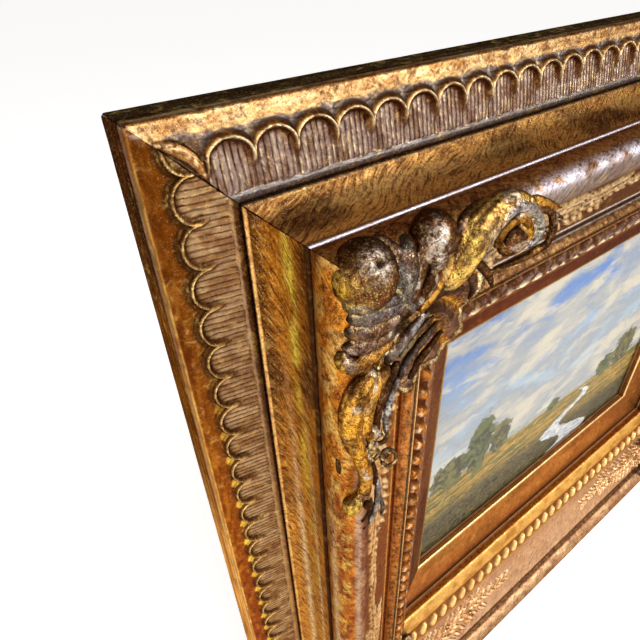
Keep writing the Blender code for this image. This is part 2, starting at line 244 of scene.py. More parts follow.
# ================================================================ node materials
class Nodes:
    def __init__(self, name):
        self.mat = bpy.data.materials.new(name)
        self.mat.use_nodes = True
        self.tree = self.mat.node_tree
        self.tree.nodes.clear()
        self.out = self.tree.nodes.new("ShaderNodeOutputMaterial")
        self.shader = self.tree.nodes.new("ShaderNodeBsdfPrincipled")
        self.tree.links.new(self.shader.outputs[0], self.out.inputs["Surface"])

    def node(self, kind, **props):
        n = self.tree.nodes.new(kind)
        for k, v in props.items():
            setattr(n, k, v)
        return n

    def put(self, value, socket):
        if isinstance(value, bpy.types.NodeSocket):
            self.tree.links.new(value, socket)
        elif hasattr(value, "__len__"):
            v = [float(c) for c in value]
            socket.default_value = v + [1.0] * (len(socket.default_value) - len(v))
        else:
            socket.default_value = value

    def math(self, op, a, b=0.0, c=0.0, clamp=False):
        n = self.node("ShaderNodeMath", operation=op, use_clamp=clamp)
        for value, socket in zip((a, b, c), n.inputs):
            self.put(value, socket)
        return n.outputs[0]

    def add(self, a, b):
        return self.math("ADD", a, b)

    def mul(self, a, b, clamp=False):
        return self.math("MULTIPLY", a, b, clamp=clamp)

    def step(self, x, lo, hi, a=0.0, b=1.0):
        n = self.node("ShaderNodeMapRange", interpolation_type="SMOOTHSTEP")
        for value, socket in zip((x, lo, hi, a, b), n.inputs):
            self.put(value, socket)
        return n.outputs[0]

    def mix(self, fac, a, b, blend="MIX"):
        n = self.node("ShaderNodeMix", data_type="RGBA", blend_type=blend, clamp_factor=True)
        self.put(fac, n.inputs[0])
        self.put(a, n.inputs[6])
        self.put(b, n.inputs[7])
        return n.outputs[2]

    def noise(self, vector, scale, detail=3.0, rough=0.55, distort=0.0):
        n = self.node("ShaderNodeTexNoise")
        self.put(vector, n.inputs["Vector"])
        n.inputs["Scale"].default_value = scale
        n.inputs["Detail"].default_value = detail
        n.inputs["Roughness"].default_value = rough
        n.inputs["Distortion"].default_value = distort
        return n.outputs["Fac"]

    def mapping(self, vector, location=(0, 0, 0), rotation=(0, 0, 0), scale=(1, 1, 1)):
        n = self.node("ShaderNodeMapping")
        self.put(vector, n.inputs["Vector"])
        n.inputs["Location"].default_value = location
        n.inputs["Rotation"].default_value = [math.radians(r) for r in rotation]
        n.inputs["Scale"].default_value = scale
        return n.outputs[0]

    def attribute(self, name):
        return self.node("ShaderNodeAttribute", attribute_name=name, attribute_type="GEOMETRY")

    def bump(self, height, distance, strength=1.0, normal=None):
        n = self.node("ShaderNodeBump")
        n.inputs["Strength"].default_value = strength
        n.inputs["Distance"].default_value = distance
        self.put(height, n.inputs["Height"])
        if normal is not None:
            self.put(normal, n.inputs["Normal"])
        return n.outputs[0]


def gilt(name, metal=0.88, rough=0.36, mottle=0.75, seed=0.0, pits=1.0, fleck=0.5, crackle=0.0):
    """Bronze-gold leaf toned with brown glaze: dark in hollows, rubbed pale on edges, mottled, with hair-like strokes."""
    g = Nodes(name)
    where = g.node("ShaderNodeTexCoord")
    place = g.mapping(where.outputs["Object"], location=(seed, seed * 0.7, -seed))
    tinting = g.attribute("tint")
    tint, leafed = tinting.outputs["Color"], tinting.outputs["Alpha"]
    patina = g.attribute("patina")
    parts = g.node("ShaderNodeSeparateColor")
    g.put(patina.outputs["Color"], parts.inputs[0])
    hollow, worn, streaky = parts.outputs[0], parts.outputs[1], parts.outputs[2]
    speckled = patina.outputs["Alpha"]

    cloud = g.noise(place, 38.0, 4.0, 0.6)
    blot = g.noise(place, 190.0, 5.0, 0.62, 0.6)
    grain = g.noise(place, 620.0, 4.0, 0.65)
    dust = g.noise(place, 1500.0, 2.0, 0.6)

    # long hair-like strokes of glaze, running slantwise across the moulding
    uv = g.mapping(where.outputs["UV"], rotation=(0, 0, 33))
    wobble = g.noise(uv, 24.0, 2.0)
    uv2 = g.node("ShaderNodeVectorMath", operation="ADD")
    shift = g.node("ShaderNodeCombineXYZ")
    g.put(0.0, shift.inputs[0])
    g.put(g.mul(wobble, 0.02), shift.inputs[1])
    g.put(uv, uv2.inputs[0])
    g.put(shift.outputs[0], uv2.inputs[1])
    hair = g.noise(g.mapping(uv2.outputs[0], scale=(90, 760, 1)), 1.0, 4.0, 0.74, 0.35)
    hair_dark = g.mul(g.step(hair, 0.52, 0.38), streaky)
    hair_pale = g.mul(g.step(hair, 0.55, 0.70), streaky)

    dark = g.mix(1.0, tint, srgb(106, 60, 28), "MULTIPLY")
    dark = g.mix(0.35, dark, srgb(56, 28, 9))
    colour = g.mix(g.mul(g.step(blot, 0.52, 0.34), g.mul(speckled, mottle)), tint, dark)
    colour = g.mix(g.mul(g.step(grain, 0.50, 0.36), g.mul(speckled, mottle)), colour, dark)
    pale = g.mix(0.5, tint, srgb(255, 214, 120))
    colour = g.mix(g.mul(g.step(blot, 0.54, 0.70), 0.38), colour, pale)
    colour = g.mix(g.mul(g.step(grain, 0.56, 0.68), g.mul(speckled, 0.6)), colour, pale)
    colour = g.mix(g.mul(hair_dark, 0.8), colour, dark)
    colour = g.mix(g.mul(hair_pale, 0.68), colour, pale)
    colour = g.mix(g.mul(g.step(cloud, 0.42, 0.66), 0.22), colour, srgb(170, 96, 34), "MULTIPLY")
    edge = g.math("MULTIPLY", worn, g.step(grain, 0.34, 0.58, 0.25, 1.0))
    colour = g.mix(g.mul(edge, 0.85), colour, g.mix(0.5, tint, srgb(255, 228, 164)))
    colour = g.mix(g.mul(g.step(dust, 0.44, 0.34), g.mul(speckled, fleck * 0.8)), colour, srgb(48, 26, 12))
    colour = g.mix(g.mul(g.step(dust, 0.60, 0.68), g.mul(speckled, fleck * 0.6)), colour, srgb(255, 236, 196))
    if crackle:
        fine = g.noise(place, 1450.0, 3.0, 0.7)
        drift = g.noise(place, 105.0, 3.0, 0.6)
        thick = g.step(drift, 0.36, 0.60, 0.15, 1.0)
        colour = g.mix(g.mul(g.step(fine, 0.51, 0.43), g.mul(thick, crackle)), colour, srgb(50, 26, 10))
        colour = g.mix(g.mul(g.step(fine, 0.57, 0.66), g.mul(g.step(drift, 0.62, 0.40), 0.6 * crackle)), colour, srgb(255, 232, 168))
    # bare toned wood on the outer sides and the back, with its grain along the rail
    wood = g.noise(g.mapping(where.outputs["UV"], scale=(14, 420, 1)), 1.0, 4.0, 0.6, 0.4)
    colour = g.mix(g.mul(g.step(leafed, 0.25, 0.0), g.step(wood, 0.36, 0.64, 0.75, 0.0)), colour, g.mix(1.0, colour, srgb(150, 112, 82), "MULTIPLY"))
    soot = g.math("MULTIPLY", hollow, g.step(grain, 0.25, 0.6, 1.0, 0.8))
    colour = g.mix(g.mul(soot, 0.94), colour, srgb(40, 21, 9))
    g.put(colour, g.shader.inputs["Base Color"])

    r = g.math("MULTIPLY_ADD", g.step(blot, 0.35, 0.7), -0.12, rough + 0.06)
    r = g.math("MULTIPLY_ADD", hollow, 0.28, r)
    r = g.math("MULTIPLY_ADD", g.step(cloud, 0.35, 0.7), 0.08, r)
    r = g.math("MULTIPLY_ADD", g.step(leafed, 1.0, 0.0), 0.22, r, clamp=True)
    g.put(r, g.shader.inputs["Roughness"])
    g.put(g.mul(leafed, metal), g.shader.inputs["Metallic"])
    g.put(g.mul(leafed, 0.5), g.shader.inputs["Specular IOR Level"])
    g.shader.inputs["Specular Tint"].default_value = (0.34, 0.21, 0.10, 1.0)
    bump = g.bump(grain, 0.0006 * pits, 0.6)
    bump = g.bump(g.add(g.mul(hair, streaky), g.mul(dust, 0.6)), 0.00026 * pits, 0.6, bump)
    g.put(bump, g.shader.inputs["Normal"])
    return g.mat


# ================================================================ rails
# Section in zones: name, points (u, h), spacing of rows, spacing along the rail, curved
ZONES = (
    ("side", ((0.0, 0.0), (0.0, 19.6)), 4.0, 5.0, False),
    ("arris_b", ((0.0, 19.6), (0.02, 20.5), (0.35, 21.3), (1.1, 21.7)), 0.7, 1.6, True),
    ("band", ((1.1, 21.7), (5.2, 22.55)), 1.0, 1.6, False),
    ("shell", ((5.2, 22.55), (28.9, 27.45)), 0.60, 0.0, False),
    ("fillet", ((28.9, 27.45), (29.3, 28.05), (30.2, 28.3), (31.3, 28.35), (32.3, 28.1)), 0.8, 2.2, True),
    ("quirk", ((32.3, 28.1), (32.7, 27.2), (33.2, 27.1), (33.6, 28.2)), 0.6, 2.2, False),
    ("arris_g", ((33.6, 28.2), (34.1, 28.75), (35.0, 29.1)), 0.5, 2.2, True),
    ("cove", ((35.0, 29.1), (38.1, 31.5), (41.4, 37.0), (43.5, 44.5), (44.45, 52.0)), 1.7, 3.6, True),
    ("arris_h", ((44.45, 52.0), (44.65, 52.8), (45.3, 53.2), (46.2, 53.5), (45.5, 54.1), (44.9, 54.8), (44.4, 55.5)), 0.55, 2.2, False),
    ("torus", ((44.4, 55.5), (43.35, 59.0), (42.95, 63.0), (43.55, 67.8), (45.3, 71.8), (48.5, 74.3), (53.5, 75.0),
               (58.0, 73.6), (61.8, 69.8), (64.3, 65.6)), 1.9, 3.2, True),
    ("groove_1", ((64.3, 65.6), (65.2, 63.0), (66.2, 62.2), (67.6, 62.0), (68.3, 61.2)), 0.8, 2.8, False),
    ("foliage", ((68.3, 61.2), (75.0, 56.0), (90.0, 47.5), (101.0, 43.9), (105.2, 43.2)), 1.25, 1.3, True),
    ("arris_i", ((105.2, 43.2), (106.0, 42.9), (106.6, 42.0), (107.1, 40.2), (110.2, 40.2), (110.6, 42.2), (111.0, 43.1)), 1.0, 2.8, False),
    ("rise", ((111.0, 43.1), (112.2, 44.6), (113.6, 46.0), (115.1, 47.1)), 0.9, 1.7, True),
    ("quirk_2", ((115.1, 47.1), (115.4, 46.3), (115.9, 46.6), (116.3, 48.0), (117.1, 48.0)), 0.6, 2.8, False),
    ("rope", ((117.1, 48.0), (118.6, 46.6), (133.4, 41.0), (134.2, 41.2)), 0.95, 0.0, False),
    ("sight", ((134.2, 41.2), (138.0, 39.6), (142.0, 37.2), (145.4, 34.3), (146.1, 33.4), (146.2, 32.4)), 1.7, 4.0, True),
    ("lip", ((146.2, 32.4), (146.2, 25.4)), 3.5, 5.0, False),
    ("rabbet", ((146.2, 25.4), (140.2, 25.4), (140.2, 0.0)), 12.0, 12.0, False),
    ("back", ((140.2, 0.0), (2.0, 0.0), (0.0, 0.0)), 35.0, 12.0, False),
)

ROPE_PITCH = 14.8
ROPE_U, ROPE_HALF, ROPE_LEAN = 126.0, 7.4, 0.62
REEDS = 7


def gold_table(kind):
    """Tints of each zone of a rail. The left and bottom rails get their own copies of the same gilding, mostly to paint
    in the light and shade that fall on each rail.
    """
    t = {
        "side": srgb(50, 38, 22), "arris_b": srgb(180, 130, 76), "band": srgb(222, 176, 116), "echo": srgb(222, 196, 172),
        "crest_line": srgb(255, 230, 184), "hood": srgb(92, 54, 22), "hood_low": srgb(108, 92, 80), "wall": srgb(92, 46, 18),
        "reed": srgb(140, 116, 106), "groove": srgb(70, 44, 30), "trough": srgb(104, 92, 86), "wedge": srgb(112, 98, 90),
        "fillet": srgb(90, 82, 80), "fillet_top": srgb(134, 126, 122), "quirk": srgb(62, 42, 28), "arris_g": srgb(132, 96, 58),
        # arris_h and arris_i on the top rail are near-white: painted glints of light on those arrises
        "cove": srgb(196, 140, 74), "cove_2": srgb(112, 70, 32), "arris_h": srgb(244, 240, 252), "arris_h_low": srgb(90, 72, 84),
        "torus": srgb(176, 118, 62), "torus_in": srgb(150, 122, 100), "crest": srgb(160, 134, 120), "groove_1": srgb(126, 104, 92),
        "cove_in": srgb(112, 78, 46), "leaf": srgb(206, 170, 126), "gap": srgb(56, 32, 14),
        "arris_i": srgb(255, 250, 246), "groove_2": srgb(112, 82, 58), "rise": srgb(132, 92, 58), "quirk_2": srgb(80, 48, 26),
        "arris_q": srgb(168, 124, 82), "bead": srgb(255, 236, 190), "bead_low": srgb(92, 54, 32),
        "sight": srgb(164, 102, 44), "arris_s": srgb(226, 172, 96), "lip": srgb(110, 62, 22), "back": srgb(166, 128, 86),
    }
    # left rail, also used for the right: the same gilding with painted light and shade
    if kind == "left":
        t.update({
            "side": srgb(66, 32, 8), "arris_b": srgb(222, 172, 92), "band": srgb(136, 70, 8), "echo": srgb(186, 136, 60),
            "crest_line": srgb(236, 188, 110), "hood": srgb(88, 48, 18), "hood_low": srgb(78, 44, 14), "wall": srgb(86, 48, 20),
            "reed": srgb(168, 134, 98), "groove": srgb(88, 54, 30), "trough": srgb(96, 54, 16), "wedge": srgb(240, 194, 78),
            "fillet": srgb(84, 50, 22), "fillet_top": srgb(150, 116, 86), "quirk": srgb(46, 24, 8), "arris_g": srgb(232, 178, 104),
            "cove": srgb(176, 106, 18), "cove_2": srgb(98, 50, 8), "arris_h": srgb(84, 44, 14), "arris_h_low": srgb(48, 24, 8),
            "torus": srgb(212, 132, 32), "torus_in": srgb(150, 102, 66), "crest": srgb(186, 148, 122), "groove_1": srgb(104, 62, 34),
            "cove_in": srgb(148, 96, 54), "leaf": srgb(206, 156, 102), "arris_i": srgb(246, 180, 104), "rise": srgb(196, 122, 60),
            "arris_q": srgb(240, 196, 140), "bead": srgb(255, 226, 190), "bead_low": srgb(128, 66, 18), "sight": srgb(176, 128, 102),
            "groove_2": srgb(170, 98, 44),
        })
    # bottom rail: the same gilding painted lighter, as lit from above
    if kind == "bottom":
        t.update({
            "cove_in": srgb(206, 160, 122), "leaf": srgb(218, 162, 104), "gap": srgb(84, 44, 20), "bead": srgb(255, 216, 140),
            "bead_low": srgb(166, 108, 58), "sight": srgb(218, 164, 88), "rise": srgb(196, 150, 108), "torus_in": srgb(206, 156, 104),
            "crest": srgb(206, 160, 116), "arris_s": srgb(255, 222, 148), "lip": srgb(158, 86, 20), "quirk_2": srgb(150, 100, 60),
            "groove_1": srgb(120, 78, 50), "torus": srgb(196, 140, 78), "arris_q": srgb(196, 150, 110), "arris_i": srgb(214, 168, 122),
            "groove_2": srgb(122, 80, 50),
        })
    return t


def blend(a, b, w):
    w = np.asarray(w)[..., None]
    return a * (1 - w) + b * w


def stamp_leaf(S, V, s0, v0, angle, length, width, high, bend=0.0):
    """Relief of one leaf from its base at (s0, v0), and how far inside its outline each place is."""
    c, d = math.cos(math.radians(angle)), math.sin(math.radians(angle))
    x = ((S - s0) * c + (V - v0) * d) / length
    y = (-(S - s0) * d + (V - v0) * c) - bend * length * x * x
    xs = np.clip(x, 0, 1)
    half = width * 0.5 * np.sqrt(np.maximum(np.sin(math.pi * xs ** 0.72), 0)) * (1 + 0.12 * np.cos(xs * 2 * math.pi * 2.6)) + 1e-3
    k = np.where((x > 0) & (x < 1), 1 - (y / half) ** 2, -1.0)
    body = np.maximum(k, 0) ** 0.5 * high * (0.6 + 0.4 * np.sin(math.pi * xs ** 0.9))
    return body, k


def stamp_rosette(S, V, s0, v0, radius, high, petals):
    x, y = S - s0, V - v0
    r = np.hypot(x, y)
    ang = np.arctan2(y, x)
    edge = radius * (0.80 + 0.20 * np.cos(petals * ang))
    k = 1 - (r / edge) ** 2
    body = high * np.sqrt(np.maximum(k, 0)) * (0.66 + 0.34 * np.cos(petals * ang))
    heart = np.sqrt(np.maximum(1 - (r / (radius * 0.34)) ** 2, 0)) * high * 0.7
    k = np.where(np.abs(r - radius * 0.40) < 0.5, 0.05, k)
    return np.maximum(body, heart), k


def foliage(S, V, length, reach, rng):
    """Leaf sprays creeping along the inner hollow from both corners. V runs across it, 0 at the crest side.

    Gives the relief, and how far inside the outline of the uppermost leaf each place is (below 0 on bare ground).
    """
    out, inside = np.zeros_like(S), np.full_like(S, -1.0)
    line = S[0]

    def add(shape, s0, pad):
        lo, hi = np.searchsorted(line, [s0 - pad, s0 + pad])
        if hi - lo > 2:
            part = slice(lo, hi)
            body, k = shape(S[:, part], V[:, part])
            over = k > 0
            out[:, part] = np.where(over, body + 0.25, out[:, part])
            inside[:, part] = np.where(over, k, inside[:, part])

    start = 100.0
    for end in (0, 1):
        def at(x):
            return x if end == 0 else length - x
        turn = (lambda a: a) if end == 0 else (lambda a: 180 - a)
        x, k = start, 0
        while x < reach:
            share = (x - start) / (reach - start)
            mid = 19.5 + 3.5 * math.sin(x / 17.0) * (1 - 0.5 * share)
            size = 15.0 * (1 - share) + 10.0 * share
            wide = 6.2 * (1 - share) + 4.2 * share
            high = 2.6 * (1 - share) + 1.9 * share
            half = 15.5 * (1 - share) ** 0.8 + 3.0
            for tier in (2, 1, 0):
                off = 1.0 + 6.4 * tier
                if off > half:
                    continue
                for side in (-1, 1):
                    ang = side * (24 + 19 * tier + 20 * rng.random())
                    grow = size * (0.85 + 0.3 * rng.random())
                    base = x - 2.5 * tier + 3.0 * rng.random()
                    curl = -0.20 * side * (1 if end == 0 else -1)
                    add(lambda s, v, a=ang, g=grow, w=wide, v0=mid + side * off, h=high, b=at(base), q=curl:
                        stamp_leaf(s, v, b, v0, turn(a), g, w, h, q), at(base), 18)
            if k % 4 == 2 and share < 0.8:
                v0 = mid + (8.5 if k % 8 == 2 else -8.5) * (1 - 0.5 * share)
                add(lambda s, v, b=at(x + 3), v0=v0: stamp_rosette(s, v, b, v0, 4.4, 2.6, 6), at(x + 3), 8)
            x += size * 0.70
            k += 1
    return out, inside


def columns(zone, length, s_step, pitch, fine):
    """Places along the rail, from outer corner to outer corner, where a zone has vertices."""
    if zone == "shell":
        step = pitch / REEDS / fine
        n = int(length / 2 / step) + 2
        line = length / 2 + step * np.arange(-n, n + 1)
    elif zone == "rope":
        step = ROPE_PITCH / (3 * fine)
        n = int(length / 2 / step) + 2
        line = length / 2 + step * np.arange(-n, n + 1)
    elif zone == "foliage":      # close where the sprays are
        near = np.concatenate([np.arange(0, 94, 4.0), np.arange(94, 327, s_step)])
        line = np.concatenate([near, np.arange(327, length - 327, 4.0), length - near])
    else:
        line = np.linspace(0, length, int(round(length / s_step)) + 1)
    if zone in ("side", "arris_b", "band"):
        near = np.array([0.3, 0.6, 0.9, 1.2, 1.6, 2.1, 2.8, 3.7])
        line = np.concatenate([line, near, length - near])
    line = np.unique(np.round(np.clip(line, 0.0, length), 4))
    return line


def rail(name, length, backs, kind, fine, turn, where, seed, chips=1.0):
    rng = np.random.default_rng(seed)
    tint_of = gold_table(kind)
    coarse = 5.0 / fine
    pitch = 18.7 if length > 700 else 18.2
    loop, spans = [], []
    for zone, pts, row_step, s_step, curved in ZONES:
        if zone in ("rise", "rope"):
            row_step, s_step = row_step * coarse, s_step * coarse
        if zone == "foliage":
            grow = {"bottom": 0.80}.get(kind, 1.0) if fine > 3 else 1.5
            row_step, s_step = row_step * grow, s_step * grow
        if zone == "shell":
            lo, hi = pts
            marks = np.concatenate([np.arange(lo[0], 8.8, 0.72 * coarse), np.arange(8.8, 19.6, 0.58 * coarse), np.arange(19.6, hi[0] - 0.3, 1.25)])
            rows = np.stack([marks, np.interp(marks, (lo[0], hi[0]), (lo[1], hi[1]))], 1)
        elif curved or len(pts) == 2:
            rows = resample(pts, row_step, curved)[:-1]
        else:      # keep the corners of a cut section
            rows = []
            for a, b in zip(pts[:-1], pts[1:]):
                n = max(1, int(round(math.dist(a, b) / row_step)))
                rows += [(a[0] + (b[0] - a[0]) * i / n, a[1] + (b[1] - a[1]) * i / n) for i in range(n)]
            rows = np.array(rows)
        spans.append((zone, len(loop), len(loop) + len(rows), columns(zone, length, s_step, pitch, fine)))
        loop += [tuple(r) for r in rows]
    loop = np.array(loop)
    ahead, behind = np.roll(loop, -1, 0), np.roll(loop, 1, 0)
    t1, t2 = loop - behind, ahead - loop
    t1 /= np.maximum(np.hypot(*t1.T), 1e-9)[:, None]
    t2 /= np.maximum(np.hypot(*t2.T), 1e-9)[:, None]
    tan = t1 + t2
    tan /= np.maximum(np.hypot(*tan.T), 1e-9)[:, None]
    normal = np.stack([-tan[:, 1], tan[:, 0]], 1)
    arc = np.concatenate([[0], np.cumsum(np.hypot(*np.diff(loop, axis=0).T))])

    points, uvs, tints, streaks, specks, darks, leafs, rows_at = [], [], [], [], [], [], [], []
    total = 0
    mid = length / 2
    for zone, lo, hi, line in spans:
        n = len(line)
        U, H = loop[lo:hi, 0][:, None], loop[lo:hi, 1][:, None]
        NU, NH = normal[lo:hi, 0][:, None], normal[lo:hi, 1][:, None]
        A = arc[lo:hi][:, None]
        g0, g1 = backs[0](U), backs[1](U)
        first, last = U + g0, length - U - g1
        K = np.broadcast_to(line[None, :], (hi - lo, n))
        S = np.clip(K, first, last)
        U2, A2, H2 = np.broadcast_to(U, S.shape), np.broadcast_to(A, S.shape), np.broadcast_to(H, S.shape)
        Q = S if kind in ("top", "bottom") else length - S      # distance from the upper or left corner
        ones = np.ones(S.shape + (1,))
        D = 0.12 * fbm(S / 23, A2 / 23, 0, seed, 2) + 0.05 * fbm(S / 4, A2 / 4, 0, seed + 3, 2)
        streak = np.full(S.shape, 0.15)
        speck = np.full(S.shape, 0.75)
        dark = np.zeros(S.shape)
        base = tint_of.get(zone)
        tint = np.broadcast_to(base if base is not None else tint_of["back"], S.shape + (3,)).copy()
        lower = smooth(70, 330, Q) if kind == "left" else np.zeros(S.shape)
        away = smooth(60, 420, Q) if kind == "top" else np.zeros(S.shape)
        if zone == "side":
            D = D * 0.6
            if kind == "left":
                tint = blend(tint, srgb(128, 74, 14), smooth(25, 120, Q))
                tint = blend(tint, srgb(240, 172, 86), smooth(140, 300, Q))
            tint = blend(tint, tint * 1.5, 0.5 * smooth(0.5, 0.8, noise(S / 9, A2 / 7, 0, seed)) * smooth(2, 12, A2))
            tint = blend(tint, tint * 0.55, 0.6 * smooth(0.5, 0.75, noise(S / 14, A2 / 5, 2, seed + 1)))
            speck[:] = 0.4
        elif zone in ("arris_b", "band"):
            tint = blend(tint, srgb(255, 228, 176) if kind != "left" else srgb(196, 122, 40), 0.45 * smooth(0.45, 0.75, noise(S / 4.1, A2 / 1.2, 0, seed + 5)))
            tint = blend(tint, tint * np.array([0.62, 0.42, 0.25]), 0.7 * smooth(0.52, 0.74, noise(S / 6.2, A2 / 2.1, 3, seed + 7)))
            tint = blend(tint, tint * 0.6, 0.5 * smooth(0.60, 0.74, noise(S / 2.7, A2 / 1.3, 3, seed + 8)))
            streak[:] = 0.5 if kind != "left" else 0.2
            tint = blend(tint, tint * np.array([0.58, 0.50, 0.48]), away)
            if kind == "left":
                tint = blend(tint * np.array([0.50, 0.48, 0.46]), tint, smooth(10, 230, Q))
            tint = blend(tint, tint * np.array([1.25, 1.3, 1.35]), 0.8 * lower)
            if zone == "arris_b":
                D = D - chips * 0.6 * smooth(0.78, 0.93, noise(S / 4.5, 0, 0, seed + 6))
            speck[:] = 0.15 if kind == "left" else 0.85
        elif zone == "shell":
            f = (S - mid) / pitch
            cell = np.floor(f)
            x = (f - cell - 0.5) * pitch
            jit = hashed(cell.astype(np.int64), np.zeros_like(cell, np.int64), np.zeros_like(cell, np.int64), seed) - 0.5
            x = x + 0.16 * fbm(S / 9, U2 / 9, 0, seed + 8, 2)
            a, b, uc = pitch / 2 - 0.12, 7.4 + 0.3 * jit, 17.0
            up = np.maximum(uc - U2, 0)
            q = np.sqrt((x / a) ** 2 + (up / b) ** 2)
            grad = np.sqrt((x / a ** 2) ** 2 + (up / b ** 2) ** 2) / np.maximum(q, 1e-3)
            d = np.where(U2 < uc, (q - 1) / np.maximum(grad, 0.05), np.abs(x) - a)
            d = np.maximum(d, -9) + 0.10 * fbm(S / 3.3, U2 / 3.3, 0, seed + 9, 2)
            if kind == "left":
                rim = np.interp(d, (-2.0, -1.3, -0.8, -0.4, -0.1, 0.2, 0.6, 1.0, 1.5, 2.0, 2.4, 2.8, 3.3, 4.5),
                                (0.0, 0.1, 0.7, 1.9, 2.3, 2.2, 1.4, 0.6, 0.0, -0.3, -0.3, 0.0, 0.2, 0.0))
            else:
                rim = np.interp(d, (-2.3, -1.6, -1.1, -0.55, -0.15, 0.15, 0.6, 1.1, 1.7, 2.4, 3.1, 3.8, 4.6, 5.4),
                                (0.0, 0.1, 0.7, 2.3, 2.9, 2.9, 2.4, 2.0, 1.3, 0.3, -0.3, -0.2, 0.12, 0.0))
            leg = smooth(22.5, 17.0, U2)
            rim = np.where(d < 0.3, rim * leg, rim)
            lean = 0.9 * (U2 - 24) / 15 * x / a                     # reeds draw together towards the apex
            phase = ((x + lean * 0.5) / pitch + 0.5) * REEDS + 0.16 * fbm(S / 5, U2 / 8, 2, seed + 11, 2)
            part = np.abs(2 * (phase - np.floor(phase)) - 1)        # 1 in the groove between two reeds
            ridge = np.sqrt(np.maximum(1 - part ** 2, 0))
            field = smooth(-1.0, -1.7, d) * smooth(29.2, 28.2, U2)
            dome = 0.35 * np.maximum(1 - (x / a) ** 2, 0)
            firm = 0.55 + 0.45 * smooth(0.30, 0.60, noise(np.floor(phase) * 3.7 + cell * 1.3, U2 / 7.5, 0, seed + 15))
            comb = field * (0.95 * (ridge ** 0.6 - 1) * firm + dome)
            flute = -0.55 * np.exp(-((np.abs(x) - a) / 0.8) ** 2) * (1 - leg) * smooth(29.2, 28.2, U2)
            bumps = 0.16 * fbm(S / 1.6, U2 / 1.6, 0, seed + 12, 2)
            D = (D + rim + comb + flute + bumps) * smooth(5.0, 6.2, U2)
            wear = noise(S / 1.4, U2 / 1.4, 0, seed + 13)
            lit_arch_side = smooth(-0.6, 0.6, -x / a)                      # the side of each arch nearer the lit corner, which gets a painted highlight
            if kind == "left":
                # a thin bright lip, a dark line beyond it, and leaf-gold wedges where two shells meet
                tint = tint_of["band"] * ones
                tint = blend(tint * (0.62 + 0.38 * smooth(30, 260, Q))[..., None], tint_of["trough"], smooth(3.0, 2.0, d) * smooth(0.35, 0.6, noise(S / 3.4, U2 / 3, 5, seed + 16)))
                tint = blend(tint, tint_of["trough"] * 0.6, smooth(4.2, 2.6, d) * smooth(190, 60, Q))
                drop = ((np.abs(x) - a) / 3.9) ** 2 + ((U2 - 10.9) / (3.2 + 0.8 * jit)) ** 2
                tint = blend(tint, tint_of["wedge"], smooth(1.05, 0.6, drop) * smooth(0.8, 1.3, d) * smooth(90, 210, Q))
                tint = blend(tint, tint_of["hood_low"] * 0.8, np.exp(-((d - 1.1) / 0.55) ** 2))
                tint = blend(tint, tint_of["hood"], smooth(0.75, 0.45, d))
            else:
                ground = smooth(5.9, 6.7, U2 + 2.2 * (noise(S / 6, U2 / 2.5, 7, seed + 17) - 0.5) + 1.0 * (noise(S / 1.8, U2 / 1.5, 7, seed + 18) - 0.5))
                tint = blend(tint_of["band"] * ones, tint_of["wedge"], ground)
                tint = blend(tint, tint_of["echo"], 0.6 * ground * np.exp(-((d - 4.6) / 0.55) ** 2) * smooth(0.3, 0.6, wear))
                tint = blend(tint, tint_of["trough"] * 0.75, smooth(3.4, 2.4, d))
                # painted shadow: the hood is tinted dark brown, and only its lit side is turned gold below
                tint = blend(tint, tint_of["hood"], smooth(2.3, 1.6, d))
                # painted highlight on the lit side of each arch
                tint = blend(tint, srgb(214, 156, 84), 0.8 * lit_arch_side * smooth(1.2, 0.7, d) * smooth(0.2, 0.45, wear))
            line_w = np.exp(-((d + 0.02) / 0.30) ** 2)
            tint = blend(tint, tint_of["crest_line"], np.clip(line_w * (0.45 + 0.75 * smooth(0.25, 0.6, wear)), 0, 1))
            inner = smooth(-0.35, -0.8, d)
            tint = blend(tint, tint_of["wall"], inner)
            reed_tint = blend(tint_of["groove"] * ones, tint_of["reed"], smooth(0.90, 0.62, part))
            reed_tint = blend(reed_tint, tint_of["crest_line"] * 0.95, 0.75 * np.exp(-((2 * (phase - np.floor(phase)) - 1 + 0.45) / 0.16) ** 2) * smooth(0.40, 0.62, wear))
            stain = smooth(0.46, 0.66, noise(S / 3.2, U2 / 6.5, 0, seed + 14))
            reed_tint = blend(reed_tint, reed_tint * np.array([0.60, 0.45, 0.34]), 0.8 * stain)
            shade_side = smooth(0.1, 0.85, x / a) * (1 if kind != "left" else 0)      # painted shade on the wall of each arch's far side
            reed_tint = blend(reed_tint, tint_of["wall"], 0.85 * shade_side * smooth(24.0, 13.0, U2))
            # painted shade on the reeds just under the arch rim
            reed_tint = blend(reed_tint, tint_of["wall"] * 0.7, 0.85 * smooth(-3.4, -1.3, d) * leg)
            tint = blend(tint, reed_tint, np.maximum(smooth(-1.0, -1.7, d), smooth(18.5, 21.5, U2)))
            if kind == "left":
                tint = blend(tint, tint * np.array([1.10, 1.08, 1.02]), lower)
            # on the top rail the darkening beside the hood is painted shadow; in the reed grooves it is glaze
            dark = 0.15 * np.exp(-((d - 2.7) / 0.8) ** 2) * (U2 < 19) * (kind != "left") + 0.35 * field * smooth(0.80, 0.98, part) * firm
            dark = dark + 0.30 * np.exp(-((d + 1.0) / 0.5) ** 2) * leg * (d < 0)
            speck = 0.30 + 0.4 * smooth(7.0, 6.0, U2) * (kind != "left")
            if kind == "top":
